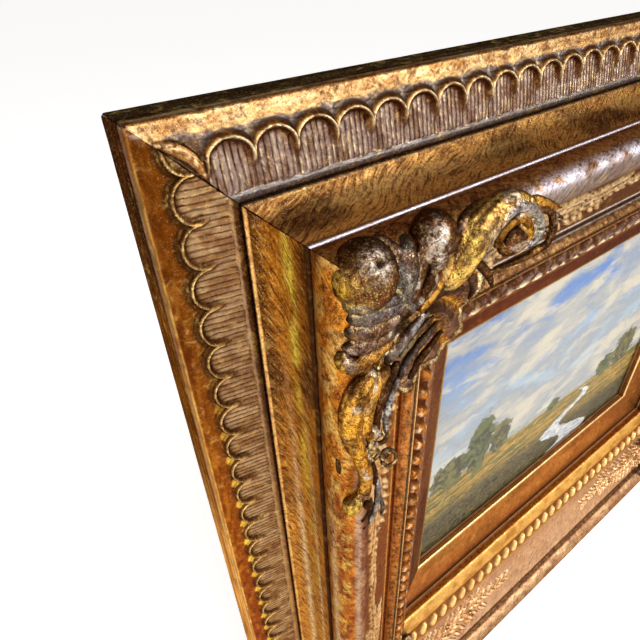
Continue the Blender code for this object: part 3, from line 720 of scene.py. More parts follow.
                # the corner motif: a curled leaf lying along the joint in place of the first arch
                curl = np.array(((8.6, 7.4), (13.0, 9.2), (17.2, 12.0), (20.6, 16.0), (22.4, 20.4)))
                curl = catmull(curl, 8)
                gap = np.sqrt(((S[..., None] - curl[:, 0]) ** 2 + (U2[..., None] - curl[:, 1]) ** 2))
                along = gap.argmin(-1) / (len(curl) - 1)
                gap = gap.min(-1)
                thick = 2.5 * np.sqrt(np.maximum(np.sin(math.pi * (0.08 + 0.86 * along)), 0))
                inside = 1 - (gap / np.maximum(thick, 0.3)) ** 2
                body = np.sqrt(np.maximum(inside, 0))
                own = smooth(23.9, 23.0, S) * smooth(7.5, 8.6, U2)
                D = D * (1 - own) + (2.3 * body - 0.8 * np.exp(-((gap - 0.9) / 0.45) ** 2) + 0.5 * fbm(S / 2, U2 / 2, 0, seed + 19, 2)) * smooth(24.6, 23.9, S) * smooth(5.0, 6.2, U2)
                tint = blend(tint, srgb(92, 66, 46), own)
                tint = blend(tint, srgb(140, 90, 46), smooth(0.0, 0.35, inside) * smooth(24.2, 23.6, S))
                tint = blend(tint, srgb(240, 204, 150), 0.8 * smooth(0.70, 0.92, inside) * smooth(24.2, 23.6, S) * smooth(0.30, 0.55, noise(S / 1.1, U2 / 1.1, 0, seed + 21)))
                tint = blend(tint, srgb(56, 30, 12), np.exp(-(inside / 0.22) ** 2) * smooth(24.2, 23.6, S))
                dark = dark * (1 - own)
            streak[:] = 0.04
        elif zone == "fillet":
            share = (A2 - A2[0, 0]) / max(A2[-1, 0] - A2[0, 0], 1e-6)
            tint = blend(tint_of["fillet"] * ones, tint_of["fillet_top"], smooth(0.42, 0.15, share))
            if kind == "left":
                tint = blend(tint, srgb(188, 146, 98), 0.85 * lower)
            streak[:] = 0.35
            speck[:] = 0.35
        elif zone == "cove":
            share = (A2 - A2[0, 0]) / (A2[-1, 0] - A2[0, 0])
            w = smooth(0.35, 0.7, noise(S / 30, A2 / 12, 1, seed + 20))
            tint = blend(tint_of["cove"] * ones, tint_of["cove_2"], w)
            if kind == "left":
                tint = blend(tint, tint_of["cove_2"] * 0.6, 0.85 * (1 - lower) * smooth(0.42, 0.04, share))
                # painted highlights: a yellow sheen along the cove, and lower down two pale highlight streaks
                tint = blend(tint, srgb(255, 226, 84), 0.85 * (1 - 0.6 * lower) * np.exp(-((share - 0.64) / 0.10) ** 2) * smooth(0.30, 0.55, noise(S / 17, A2 / 8, 2, seed + 27)))
                tint = blend(tint, srgb(216, 150, 66), 0.7 * lower)
                tint = blend(tint, srgb(250, 222, 176), 0.85 * lower * np.exp(-((share - 0.36) / 0.07) ** 2))
                tint = blend(tint, srgb(255, 226, 170), 0.7 * lower * np.exp(-((share - 0.78) / 0.05) ** 2))
            else:
                tint = blend(tint, tint_of["cove_2"] * 0.85, 0.7 * smooth(0.25, 0.0, share))
                tint = blend(tint, srgb(214, 170, 104), 0.55 * np.exp(-((share - 0.35) / 0.2) ** 2) * smooth(0.3, 0.6, noise(S / 24, A2 / 10, 2, seed + 27)))
                tint = blend(tint, tint * np.array([1.32, 1.30, 1.26]) + srgb(40, 26, 14), 0.8 * smooth(150, 60, Q) * smooth(0.25, 0.6, share))
            streak[:] = 1.0
            speck[:] = 0.6
        elif zone == "arris_g":
            D = D - chips * 0.25 * smooth(0.72, 0.9, noise(S / 6, 0, 0, seed + 22))
        elif zone == "arris_h":
            k = np.broadcast_to(np.arange(hi - lo)[:, None] / max(hi - lo - 1, 1), S.shape)
            notch = np.exp(-((k - 0.40) / 0.15) ** 2)
            if kind == "left":
                tint = blend(tint_of["arris_h"] * ones, tint_of["arris_h_low"], notch)
                dark = 0.75 + 0.2 * notch
            else:
                # two painted highlight lines along the top rail's arris
                twin = np.exp(-((k - 0.24) / 0.10) ** 2) + 0.9 * np.exp(-((k - 0.62) / 0.10) ** 2)
                tint = blend(blend(tint_of["cove_2"] * ones, tint_of["torus"], smooth(0.7, 0.9, k)), tint_of["arris_h_low"], notch)
                tint = blend(tint, tint_of["arris_h"], np.clip(twin, 0, 1))
                dark = 0.5 * notch
            speck[:] = 0.25
        elif zone == "torus":
            share = (A2 - A2[0, 0]) / (A2[-1, 0] - A2[0, 0])
            # painted reflection: the crest and inner side of the torus take paler, greyer tints
            tint = blend(tint_of["torus"] * ones, tint_of["crest"], smooth(0.52, 0.60, share))
            tint = blend(tint, tint_of["torus_in"], smooth(0.72, 0.8, share))
            tint = blend(tint, tint * np.array([0.55, 0.38, 0.22]), 0.75 * smooth(0.48, 0.72, noise(S / 11, A2 / 7, 4, seed + 23)))
            tint = blend(tint, tint * np.array([0.45, 0.30, 0.18]), 0.7 * smooth(0.60, 0.76, noise(S / 4.2, A2 / 2.4, 4, seed + 24)))
            if kind == "left":
                # painted highlights on the left torus: yellow blotches and a cream line on its outer side, a pale line
                # on the crest
                tint = blend(tint, srgb(255, 214, 120), 0.55 * smooth(0.5, 0.7, noise(S / 6, A2 / 3, 6, seed + 28)) * smooth(0.55, 0.45, share))
                tint = blend(tint, srgb(252, 224, 178), 0.8 * smooth(150, 260, Q) * np.exp(-((share - 0.20) / 0.06) ** 2))
                tint = blend(tint, srgb(214, 186, 168), 0.7 * smooth(130, 190, Q) * np.exp(-((share - 0.60) / 0.04) ** 2))
            else:
                # painted gloss on the top torus: a grey sheen and a bluish-white highlight
                painted_gloss = smooth(120, 175, Q) if kind == "top" else 0.3
                tint = blend(tint, srgb(150, 136, 130), 0.85 * painted_gloss * smooth(0.42, 0.56, share))
                tint = blend(tint, srgb(236, 234, 250), 0.9 * painted_gloss * np.exp(-((share - 0.46) / 0.09) ** 2) * smooth(0.25, 0.5, noise(S / 7, A2 / 4, 0, seed + 25)))
            streak[:] = 0.6
            speck = 0.95 - 0.5 * smooth(0.42, 0.55, share)
        elif zone == "groove_1":
            dark[:] = 0.35
        elif zone == "foliage":
            V = A2 - A2[0, 0]
            relief, inside = foliage(S, V, length, 318.0 if kind != "bottom" else 300.0, rng)
            D = D + relief
            lift = smooth(0.0, 0.2, inside)
            tint = blend(tint_of["cove_in"] * ones, tint_of["leaf"], lift)
            tint = blend(tint, srgb(255, 232, 190), 0.55 * smooth(0.60, 0.95, inside) * smooth(0.35, 0.60, noise(S / 2.4, A2 / 2.4, 0, seed + 26)))
            tint = blend(tint, tint_of["gap"], smooth(0.50, 0.15, inside) * (inside > 0))
            # a few hair lines of drawing in the hollow between the sprays
            vein = fbm(S / 9, A2 / 6, 3, seed + 33, 2)
            tint = blend(tint, tint_of["gap"], 0.35 * np.exp(-(vein / 0.03) ** 2) * (1 - lift))
            streak = 0.5 * (1 - lift)
            speck[:] = 0.5 if kind == "top" else 0.2
            dark = 0.45 * smooth(0.35, 0.05, inside) * (inside > 0)
        elif zone == "arris_i":
            low = smooth(42.4, 41.4, H2)
            tint = blend(tint, tint_of["groove_2"], low)
            dark = (0.15 if kind == "left" else 0.35) * low
        elif zone == "rise":
            D = D + 0.34 * fbm(S / 2.2, A2 / 2.2, 0, seed + 30, 2) + 0.2 * fbm(S / 6, A2 / 3, 0, seed + 31, 2)
            tint = blend(tint, tint * 0.5, smooth(0.5, 0.75, noise(S / 3.2, A2 / 2.4, 0, seed + 32)))
        elif zone == "quirk_2":
            up = smooth(46.6, 47.9, H2)
            tint = blend(tint_of["quirk_2"] * ones, tint_of["arris_q"], up)
            dark = 0.7 * (1 - up)
        elif zone == "rope":
            y = (U2 - ROPE_U) / ROPE_HALF
            v = (S - mid + (U2 - ROPE_U) * ROPE_LEAN) / ROPE_PITCH + 0.04 * np.sin(y * 2.6)
            cell = np.floor(v)
            f = v - cell
            jit = hashed(cell.astype(np.int64), np.zeros_like(cell, np.int64), np.zeros_like(cell, np.int64), seed + 2) - 0.5
            wide = (0.27 if kind == "bottom" else 0.36) + 0.03 * jit
            reach = 0.66 if kind == "bottom" else 1.0
            k = 1 - ((f - 0.5) / wide) ** 2 - np.abs(y / reach) ** 2.4
            bead = np.sqrt(np.maximum(k, 0))
            twist = 0.5 * np.cos(2 * math.pi * (f * 2 + y * 0.9)) * bead
            D = D + 3.8 * bead * (1 + 0.10 * jit) - 0.5 * smooth(0.0, -0.3, k) * smooth(1.0, 0.9, np.abs(y)) + (0.5 * twist if kind != "bottom" else 0.0)
            lift = smooth(0.30, 0.75, bead)
            chip = noise(S / 2.1, U2 / 2.1, 1, seed + 29)
            # painted highlights on the beads: cream tips, and on the top rail mauve-grey tops
            if kind == "top":
                body = blend(tint_of["bead_low"] * ones, srgb(128, 104, 100), lift * smooth(0.35, 0.6, chip))
                tip = lift * smooth(-0.25, 0.35, y) * smooth(0.30, 0.50, chip) * smooth(0.62, 0.45, np.abs(f - 0.42) / wide)
                tint = blend(body, tint_of["bead"], tip)
            elif kind == "left":
                body = blend(tint_of["bead_low"] * ones, srgb(206, 132, 56), lift)
                tip = lift * smooth(0.1, 0.5, y) * smooth(0.35, 0.5, chip) + lift * smooth(-0.3, -0.7, y) * smooth(0.5, 0.6, chip)
                tint = blend(body, tint_of["bead"], np.clip(tip, 0, 1))
                tint = blend(tint, srgb(84, 40, 12), 0.7 * smooth(0.55, 0.70, noise(S / 2.6, U2 / 2.6, 6, seed + 31)))
            else:
                tint = blend(tint_of["bead_low"] * ones, tint_of["bead"], lift)
            tint = blend(tint, tint_of["arris_q"], smooth(117.9, 117.3, U2))
            tint = blend(tint, tint_of["sight"], smooth(132.4, 133.6, U2))
            dark = (0.65 * smooth(0.45, 0.0, bead)) * smooth(1.02, 0.9, np.abs(y)) * (0.5 if kind == "bottom" else 1.0)
            speck[:] = 0.4 if kind != "bottom" else 0.15
        elif zone == "sight":
            tint = blend(tint, tint_of["arris_s"], smooth(33.9, 33.2, H2) * smooth(32.2, 32.9, H2))
            D = D - chips * 0.3 * smooth(0.8, 0.92, noise(S / 7, 0, 0, seed + 40)) * smooth(34.5, 33.4, H2)
            speck[:] = 0.45 if kind != "bottom" else 0.2
            tint = blend(tint, tint * np.array([0.62, 0.48, 0.34]), 0.7 * smooth(0.52, 0.72, noise(S / 9, A2 / 4, 0, seed + 41)))
        elif zone == "quirk":
            dark[:] = 0.45
            if kind == "left":
                tint = blend(tint, srgb(120, 80, 42), 0.6 * lower)
                dark = 0.45 - 0.3 * lower
        elif zone in ("rabbet", "back", "lip"):
            D = D * 0.0
            if zone != "lip":
                streak[:] = 0.0
                speck[:] = 0.15
        if zone in ("side", "arris_b", "band"):
            # the outer corner is softened, and its joint painted over and ragged
            near = np.minimum(S - U2, length - U2 - S)
            r = 1.7
            soft = r - np.sqrt(np.maximum(r * r - np.maximum(r - np.minimum(S, length - S), 0) ** 2, 0.0))
            D = D - 0.9 * soft * (zone != "band")
            tint = blend(tint, srgb(244, 222, 200), 0.75 * smooth(2.4, 0.4, near) * smooth(0.35, 0.6, noise(S / 0.9, U2 / 0.9, H2 / 3, seed + 44)) * (zone != "side"))
        un, hn = U2 + NU * D, np.maximum(H + NH * D, 0.0)
        un = np.maximum(un, 0.0)
        sn = np.clip(K, un + g0, length - un - g1)
        left_end = np.maximum(np.searchsorted(line, first[:, 0], side="right") - 1, 0)
        right_end = np.minimum(np.searchsorted(line, last[:, 0], side="left"), n - 1)
        points.append(np.stack([sn - length / 2, -hn, -un], -1).reshape(-1, 3))
        uvs.append(np.stack([S * MM, A2 * MM], -1).reshape(-1, 2))
        tints.append(tint.reshape(-1, 3))
        streaks.append(np.broadcast_to(streak, S.shape).ravel())
        specks.append(np.broadcast_to(speck, S.shape).ravel())
        darks.append(np.broadcast_to(dark, S.shape).ravel())
        leafs.append(np.full(S.size, 0.0 if zone in ("side", "back", "rabbet") else 1.0))
        for r in range(hi - lo):
            rows_at.append((total + r * n, n, left_end[r], right_end[r]))
        total += (hi - lo) * n

    points = np.concatenate(points)
    quads, tris = [], []
    for i in range(len(rows_at)):
        (a0, na, al, ar), (b0, nb, bl, br) = rows_at[i], rows_at[(i + 1) % len(rows_at)]
        same = na == nb and b0 == a0 + na
        if same:
            j = np.arange(na - 1)
            fa, fb = a0 + np.clip(j, al, ar), a0 + np.clip(j + 1, al, ar)
            ga, gb = b0 + np.clip(j, bl, br), b0 + np.clip(j + 1, bl, br)
            flat_a, flat_b = fa == fb, ga == gb
            full = ~flat_a & ~flat_b
            quads.append(np.stack([fa, ga, gb, fb], 1)[full])
            tris.append(np.stack([fa, ga, gb], 1)[flat_a & ~flat_b])
            tris.append(np.stack([fa, ga, fb], 1)[flat_b & ~flat_a])
            continue
        xa, xb = points[a0:a0 + na, 0], points[b0:b0 + nb, 0]
        i1, j1 = al, bl
        found = []
        while i1 < ar or j1 < br:
            if j1 == br or (i1 < ar and xa[i1 + 1] <= xb[j1 + 1]):
                found.append((a0 + i1, b0 + j1, a0 + i1 + 1))
                i1 += 1
            else:
                found.append((a0 + i1, b0 + j1, b0 + j1 + 1))
                j1 += 1
        tris.append(np.array(found))
    caps = []
    for end in (0, 1):
        ids = [a0 + (al if end == 0 else ar) for a0, n, al, ar in rows_at]
        flat = [Vector((-points[i, 2], -points[i, 1], 0.0)) for i in ids]
        for a, b, c in geometry.tessellate_polygon([flat]):
            tri = (ids[a], ids[b], ids[c])
            pa, pb, pc = points[tri[0]], points[tri[1]], points[tri[2]]
            out = np.cross(pb - pa, pc - pa)[0]
            if (out > 0) == (end == 0):
                tri = tri[::-1]
            caps.append(tri)
    quads, tris, caps = np.concatenate(quads), np.concatenate([t for t in tris if len(t)]), np.array(caps)
    used = np.zeros(len(points), bool)
    for faces in (quads, tris, caps):
        used[faces.ravel()] = True
    fresh = np.cumsum(used) - 1
    angle = math.radians(turn)
    c, s = math.cos(angle), math.sin(angle)
    x, z = points[:, 0].copy(), points[:, 2].copy()
    points[:, 0] = x * c + z * s + where[0]
    points[:, 2] = -x * s + z * c + where[1]
    obj = mesh_from(name, points[used], [fresh[quads], fresh[tris], fresh[caps]], np.concatenate(uvs)[used])
    shade(obj, 62)
    paint(obj, np.concatenate(tints)[used], np.concatenate(streaks)[used], np.concatenate(specks)[used],
          extra_dark=np.concatenate(darks)[used], cut_faces=len(caps), leafed=np.concatenate(leafs)[used])
    return obj


def tight(u):
    return np.zeros_like(np.asarray(u, float)) + 0.05


def opened(u):
    """The opened joint: painted shut at the outer edge, parted from the shells to the crest, closed under the ornament."""
    u = np.asarray(u, float)
    share = smooth(8.0, 16.0, u) * smooth(62.0, 50.0, u)
    wander = 0.07 * np.sin(u * 0.55) + 0.05 * np.sin(u * 1.7)
    return 0.05 + (0.24 + wander) * share


rails = [
    rail("frame_rail_top", WIDTH, (opened, tight), "top", 5, 0, (0, TOP_Z), 11),
    rail("frame_rail_left", HEIGHT, (tight, opened), "left", 5, -90, (LEFT_X, MID_Z), 23),
    rail("frame_rail_bottom", WIDTH, (tight, tight), "bottom", 4, 180, (0, LOW_Z), 37),
    rail("frame_rail_right", HEIGHT, (tight, tight), "left", 3, 90, (RIGHT_X, MID_Z), 53),
]
gilt_finish = gilt("gilt_composition")
for piece, node in zip(rails, ("rail_top", "rail_left", "rail_bottom", "rail_right")):
    piece.data.materials.append(gilt_finish)
    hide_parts(node)
    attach(piece, "root")


# ================================================================ liner
LINER = ((140.7, 2.0), (140.7, 24.0), (147.0, 24.05), (149.2, 23.95), (150.9, 23.5), (160.0, 20.95), (170.0, 18.05),
         (178.6, 15.6), (180.4, 15.25), (181.4, 14.95), (181.95, 14.3), (182.0, 13.2), (182.0, 7.6), (175.6, 7.6), (175.6, 2.0))


def liner(name, length, turn, where, seed, base):
    rows = []
    for a, b in zip(LINER, LINER[1:] + LINER[:1]):
        n = max(1, int(round(math.dist(a, b) / 3.2)))
        rows += [(a[0] + (b[0] - a[0]) * i / n, a[1] + (b[1] - a[1]) * i / n) for i in range(n)]
    loop = np.array(rows)
    tan = np.roll(loop, -1, 0) - np.roll(loop, 1, 0)
    tan /= np.hypot(*tan.T)[:, None]
    arc = np.concatenate([[0], np.cumsum(np.hypot(*np.diff(loop, axis=0).T))])
    n = int(round(length / 7.0)) + 1
    U, H, A = loop[:, :1], loop[:, 1:], arc[:, None]
    T = np.linspace(0, 1, n)[None, :]
    S = (U + 0.06) + T * (length - 2 * U - 0.12)
    hidden = (U < 146.5) | (H < 12)
    D = np.where(hidden, 0.0, 0.16 * fbm(S / 34, A / 20 + 0 * S, 0, seed, 3) - 0.05)
    un, hn = U - tan[:, 1:] * D, H + tan[:, :1] * D
    sn = (un + 0.06) + T * (length - 2 * un - 0.12)
    points = np.stack([sn - length / 2, -hn, -un], -1).reshape(-1, 3)
    ids = np.arange(len(loop) * n).reshape(len(loop), n)
    nxt = np.roll(ids, -1, 0)
    quads = np.stack([ids[:, :-1], nxt[:, :-1], nxt[:, 1:], ids[:, 1:]], -1).reshape(-1, 4)
    tris = []
    for end in (0, 1):
        edge = ids[:, 0] if end == 0 else ids[:, -1]
        flat = [Vector((-points[i, 2], -points[i, 1], 0.0)) for i in edge]
        for a, b, c in geometry.tessellate_polygon([flat]):
            tri = (edge[a], edge[b], edge[c])
            out = np.cross(points[tri[1]] - points[tri[0]], points[tri[2]] - points[tri[0]])[0]
            tris.append(tri[::-1] if (out > 0) == (end == 0) else tri)
    angle = math.radians(turn)
    c, s = math.cos(angle), math.sin(angle)
    x, z = points[:, 0].copy(), points[:, 2].copy()
    points[:, 0] = x * c + z * s + where[0]
    points[:, 2] = -x * s + z * c + where[1]
    S2, A2, U2, H2 = (np.broadcast_to(v, S.shape) for v in (S, A, U, H))
    tint = np.broadcast_to(srgb(*base), S.shape + (3,)).copy()
    tint = blend(tint, tint * 0.62, 0.7 * smooth(0.4, 0.75, noise(S2 / 60, A2 / 14, 0, seed + 5)))
    # painted reflection: paler, bluer patches on the gilding
    tint = blend(tint, tint * np.array([1.35, 1.5, 1.7]), 0.5 * smooth(0.55, 0.8, noise(S2 / 26, A2 / 5, 0, seed + 6)))
    tint = blend(tint, srgb(250, 214, 146), smooth(179.6, 181.2, U2) * smooth(13.4, 14.2, H2))
    tint = blend(tint, srgb(112, 56, 26), smooth(13.2, 11.8, H2))
    # painted shade where the liner runs in under the frame's lip
    dark = 0.5 * smooth(148.5, 147.0, U2)
    obj = mesh_from(name, points, [quads, np.array(tris)], np.stack([S2 * MM, A2 * MM], -1).reshape(-1, 2))
    shade(obj, 50)
    bare = (U2 < 146) | (H2 < 12.0)
    tint[bare & (H2 < 8.5)] = srgb(166, 128, 86)
    paint(obj, tint.reshape(-1, 3), np.where(bare, 0.0, 0.35).ravel(), np.where(bare, 0.1, 0.4).ravel(), extra_dark=dark.ravel(),
          wear_gain=0.8, leafed=np.where(bare, 0.0, 1.0).ravel())
    return obj


satin = gilt("gilt_satin_liner", metal=0.88, rough=0.30, mottle=0.5, seed=3.1, pits=0.5, fleck=0.15)
# each side's slip gets its own base tint: the same gilding painted lighter or darker for the light on that side
for name, node, length, turn, where, seed, base in (
    ("liner_slip_top", "liner_top", WIDTH, 0, (0, TOP_Z), 61, (118, 70, 28)),
    ("liner_slip_left", "liner_left", HEIGHT, -90, (LEFT_X, MID_Z), 62, (134, 96, 66)),
    ("liner_slip_bottom", "liner_bottom", WIDTH, 180, (0, LOW_Z), 63, (176, 112, 60)),
    ("liner_slip_right", "liner_right", HEIGHT, 90, (RIGHT_X, MID_Z), 64, (150, 96, 50)),
):
    piece = liner(name, length, turn, where, seed, base)
    piece.data.materials.append(satin)
    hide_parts(node)
    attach(piece, "root")


# ================================================================ painted canvas board
def canvas_board():
    lo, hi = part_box("painted_canvas")
    x0, x1, z0, z1 = lo.x / MM, hi.x / MM, lo.z / MM, hi.z / MM
    front, back = lo.y / MM, hi.y / MM
    nx, nz = 170, 127
    X, Z = np.meshgrid(np.linspace(x0, x1, nx), np.linspace(z0, z1, nz))
    # brush relief: short strokes of thick paint, laid mostly level
    sway = 9 * fbm(X / 40, Z / 40, 0, 5, 2)
    stroke = fbm((X + sway) / 11, (Z + 0.3 * sway) / 2.6, 0, 6, 3)
    dab = np.maximum(fbm(X / 5, Z / 3.2, 0, 8, 2), 0)
    rise = 0.16 * stroke + 0.22 * dab
    border = np.minimum(np.minimum(X - x0, x1 - X), np.minimum(Z - z0, z1 - Z))
    Y = front + 0.42 - (0.42 + np.clip(rise, -0.3, 0.0) * 1.0 + np.clip(rise, 0, 0.4) * 0.0) * smooth(0.0, 1.5, border) + 0.0
    Y = np.clip(front + 0.30 - rise * smooth(0.5, 4, border), front, front + 0.6)
    ids = np.arange(nx * nz).reshape(nz, nx)
    points = np.stack([X, Y, Z], -1).reshape(-1, 3)
    rim = np.concatenate([ids[0, :-1], ids[:-1, -1], ids[-1, :0:-1], ids[:0:-1, 0]])
    back_pts = points[rim].copy()
    back_pts[:, 1] = back
    start = len(points)
    points = np.vstack([points, back_pts])
    ring = np.arange(start, start + len(rim))
    quads = np.stack([ids[:-1, :-1], ids[:-1, 1:], ids[1:, 1:], ids[1:, :-1]], -1).reshape(-1, 4)
    side = np.stack([rim, ring, np.roll(ring, -1), np.roll(rim, -1)], -1)
    obj = mesh_from("oil_painting_canvas", points, [np.concatenate([quads, side])])
    shape = bmesh.new()
    shape.from_mesh(obj.data)
    shape.verts.ensure_lookup_table()
    shape.faces.new([shape.verts[i] for i in ring[::-1]])
    bmesh.ops.recalc_face_normals(shape, faces=shape.faces)
    bmesh.ops.triangulate(shape, faces=[f for f in shape.faces if len(f.verts) > 4])
    shape.to_mesh(obj.data)
    shape.free()
    shade(obj, 55)
    return obj, ((x0 + x1) / 2, front, (z0 + z1) / 2)


def oil_paint(centre):
    """A made-up river-meadow landscape in blues, cloud greys, straw and dark greens."""
    g = Nodes("oil_paint")
    where = g.node("ShaderNodeTexCoord").outputs["Object"]
    flat = g.mapping(where, location=(-centre[0] * MM, 0, -centre[2] * MM))
    # painterly wander of every edge
    wander = g.node("ShaderNodeTexNoise")
    g.put(flat, wander.inputs["Vector"])
    wander.inputs["Scale"].default_value = 120.0
    wander.inputs["Detail"].default_value = 2.0
    off = g.node("ShaderNodeVectorMath", operation="SUBTRACT")
    g.put(wander.outputs["Color"], off.inputs[0])
    off.inputs[1].default_value = (0.5, 0.5, 0.5)
    scaled = g.node("ShaderNodeVectorMath", operation="SCALE")
    g.put(off.outputs[0], scaled.inputs[0])
    scaled.inputs["Scale"].default_value = 0.006
    moved = g.node("ShaderNodeVectorMath", operation="ADD")
    g.put(flat, moved.inputs[0])
    g.put(scaled.outputs[0], moved.inputs[1])
    p = moved.outputs[0]
    xyz = g.node("ShaderNodeSeparateXYZ")
    g.put(p, xyz.inputs[0])
    X, Z = xyz.outputs[0], xyz.outputs[2]

    strokes = g.noise(g.mapping(p, rotation=(0, 9, 0), scale=(60, 1, 330)), 1.0, 4.0, 0.65, 0.5)
    dabs = g.noise(p, 260.0, 3.0, 0.6, 0.8)

    # sky: deeper blue above, warm haze above the horizon, two layers of cloud
    sky = g.mix(g.step(Z, 0.02, 0.14), srgb(144, 160, 172), srgb(58, 102, 164))
    sky = g.mix(g.step(Z, 0.02, -0.035), sky, srgb(190, 182, 160))
    c1 = g.noise(g.mapping(p, rotation=(0, -16, 0), scale=(11, 1, 25)), 1.0, 5.0, 0.55, 0.4)
    c2 = g.noise(g.mapping(p, location=(0.3, 0, 0.02), rotation=(0, -12, 0), scale=(13, 1, 34)), 1.0, 5.0, 0.6, 0.3)
    sky = g.mix(g.step(c1, 0.36, 0.54), sky, srgb(128, 134, 142))
    sky = g.mix(g.mul(g.step(c1, 0.46, 0.62), 0.9), sky, srgb(154, 152, 146))
    sky = g.mix(g.mul(g.step(c2, 0.48, 0.64), 0.85), sky, srgb(184, 174, 154))
    sky = g.mix(g.mul(g.step(strokes, 0.56, 0.74), 0.30), sky, srgb(206, 200, 188))
    sky = g.mix(g.mul(g.step(strokes, 0.44, 0.28), 0.22), sky, srgb(112, 132, 160))

    # land line, falling to the right
    ridge = g.noise(g.mapping(p, scale=(9, 0, 0)), 1.0, 3.0, 0.5)
    far = g.math("MULTIPLY_ADD", ridge, 0.035, g.math("MULTIPLY_ADD", X, -0.05, -0.062))
    hills = g.step(g.math("SUBTRACT", Z, far), 0.0015, -0.0015)
    colour = g.mix(hills, sky, g.mix(g.step(dabs, 0.4, 0.6), srgb(122, 136, 142), srgb(150, 152, 136)))
    near = g.math("MULTIPLY_ADD", g.noise(g.mapping(p, location=(3, 0, 0), scale=(14, 0, 0)), 1.0, 3.0, 0.5), 0.014,
                  g.math("MULTIPLY_ADD", X, -0.03, -0.058))
    depth = g.math("SUBTRACT", near, Z)          # how far below the meadow's upper edge
    meadow = g.step(depth, -0.001, 0.0015)
    stripes = g.noise(g.mapping(p, rotation=(0, 6, 0), scale=(16, 1, 210)), 1.0, 4.0, 0.6, 0.3)
    grass = g.mix(g.step(stripes, 0.38, 0.62), srgb(74, 74, 20), srgb(164, 120, 36))
    grass = g.mix(g.mul(g.step(strokes, 0.52, 0.7), 0.6), grass, srgb(206, 176, 92))
    grass = g.mix(g.mul(g.step(dabs, 0.5, 0.34), 0.7), grass, srgb(70, 80, 32))
    low = g.mix(g.step(dabs, 0.36, 0.62), srgb(28, 26, 8), srgb(70, 62, 20))
    low = g.mix(g.mul(g.step(strokes, 0.56, 0.7), 0.5), low, srgb(140, 110, 62))
    grass = g.mix(g.step(depth, 0.026, 0.062), grass, low)
    colour = g.mix(meadow, colour, grass)

    # a pale stream winding through the meadow
    bend = g.math("MULTIPLY_ADD", g.math("SINE", g.mul(depth, 95.0)), 0.030, 0.052)
    away = g.math("ABSOLUTE", g.math("SUBTRACT", X, bend))
    breadth = g.math("MULTIPLY_ADD", depth, 0.34, 0.0012)
    water = g.mul(g.step(g.math("SUBTRACT", away, breadth), 0.0016, -0.0016), g.step(depth, 0.003, 0.007))
    stream = g.mix(g.step(strokes, 0.4, 0.62), srgb(128, 138, 150), srgb(206, 204, 196))
    colour = g.mix(water, colour, stream)

    # tree groups standing on the land line: (x, half width, height)
    leaves = g.noise(p, 95.0, 5.0, 0.7, 0.5)
    for cx, half, tall, tone in ((-0.158, 0.030, 0.036, 0), (-0.118, 0.022, 0.062, 1), (-0.086, 0.018, 0.040, 0),
                                 (0.112, 0.016, 0.028, 1), (0.150, 0.026, 0.048, 0), (0.010, 0.011, 0.014, 1)):
        ex = g.math("DIVIDE", g.math("SUBTRACT", X, cx), half)
        base = g.math("MULTIPLY_ADD", cx, -0.03, -0.054)
        ez = g.math("DIVIDE", g.math("SUBTRACT", Z, g.add(base, tall * 0.42)), tall * 0.62)
        r = g.math("SQRT", g.add(g.mul(ex, ex), g.mul(ez, ez)))
        crown = g.step(g.add(r, g.mul(g.math("SUBTRACT", leaves, 0.5), -2.1)), 1.06, 0.90)
        tree = g.mix(g.step(leaves, 0.42, 0.60), srgb(34, 38, 20) if tone else srgb(44, 46, 24), srgb(82, 88, 40) if tone else srgb(104, 96, 44))
        colour = g.mix(crown, colour, tree)

    colour = g.mix(g.mul(g.step(dabs, 0.30, 0.72), 0.06), colour, srgb(240, 232, 214))
    # the board behind is bare
    place = g.node("ShaderNodeSeparateXYZ")
    g.put(where, place.inputs[0])
    behind = g.step(place.outputs[1], (centre[1] + 0.9) * MM, (centre[1] + 1.3) * MM)
    cloth = g.noise(g.mapping(where, scale=(900, 1, 260)), 1.0, 3.0, 0.6)
    colour = g.mix(behind, colour, g.mix(g.step(cloth, 0.35, 0.65), srgb(138, 112, 78), srgb(166, 138, 100)))
    g.put(colour, g.shader.inputs["Base Color"])
    g.put(g.step(dabs, 0.3, 0.7, 0.34, 0.5), g.shader.inputs["Roughness"])
    g.shader.inputs["Specular IOR Level"].default_value = 0.12
    g.shader.inputs["Coat Weight"].default_value = 0.03
    g.shader.inputs["Coat Roughness"].default_value = 0.22
    weave = g.noise(where, 1400.0, 1.0, 0.5)
    bump = g.bump(strokes, 0.0007, 0.7)
    bump = g.bump(weave, 0.0002, 0.4, bump)
    g.put(bump, g.shader.inputs["Normal"])
    return g.mat


board, board_centre = canvas_board()
board.data.materials.append(oil_paint(board_centre))
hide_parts("painted_canvas")
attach(board, "root")


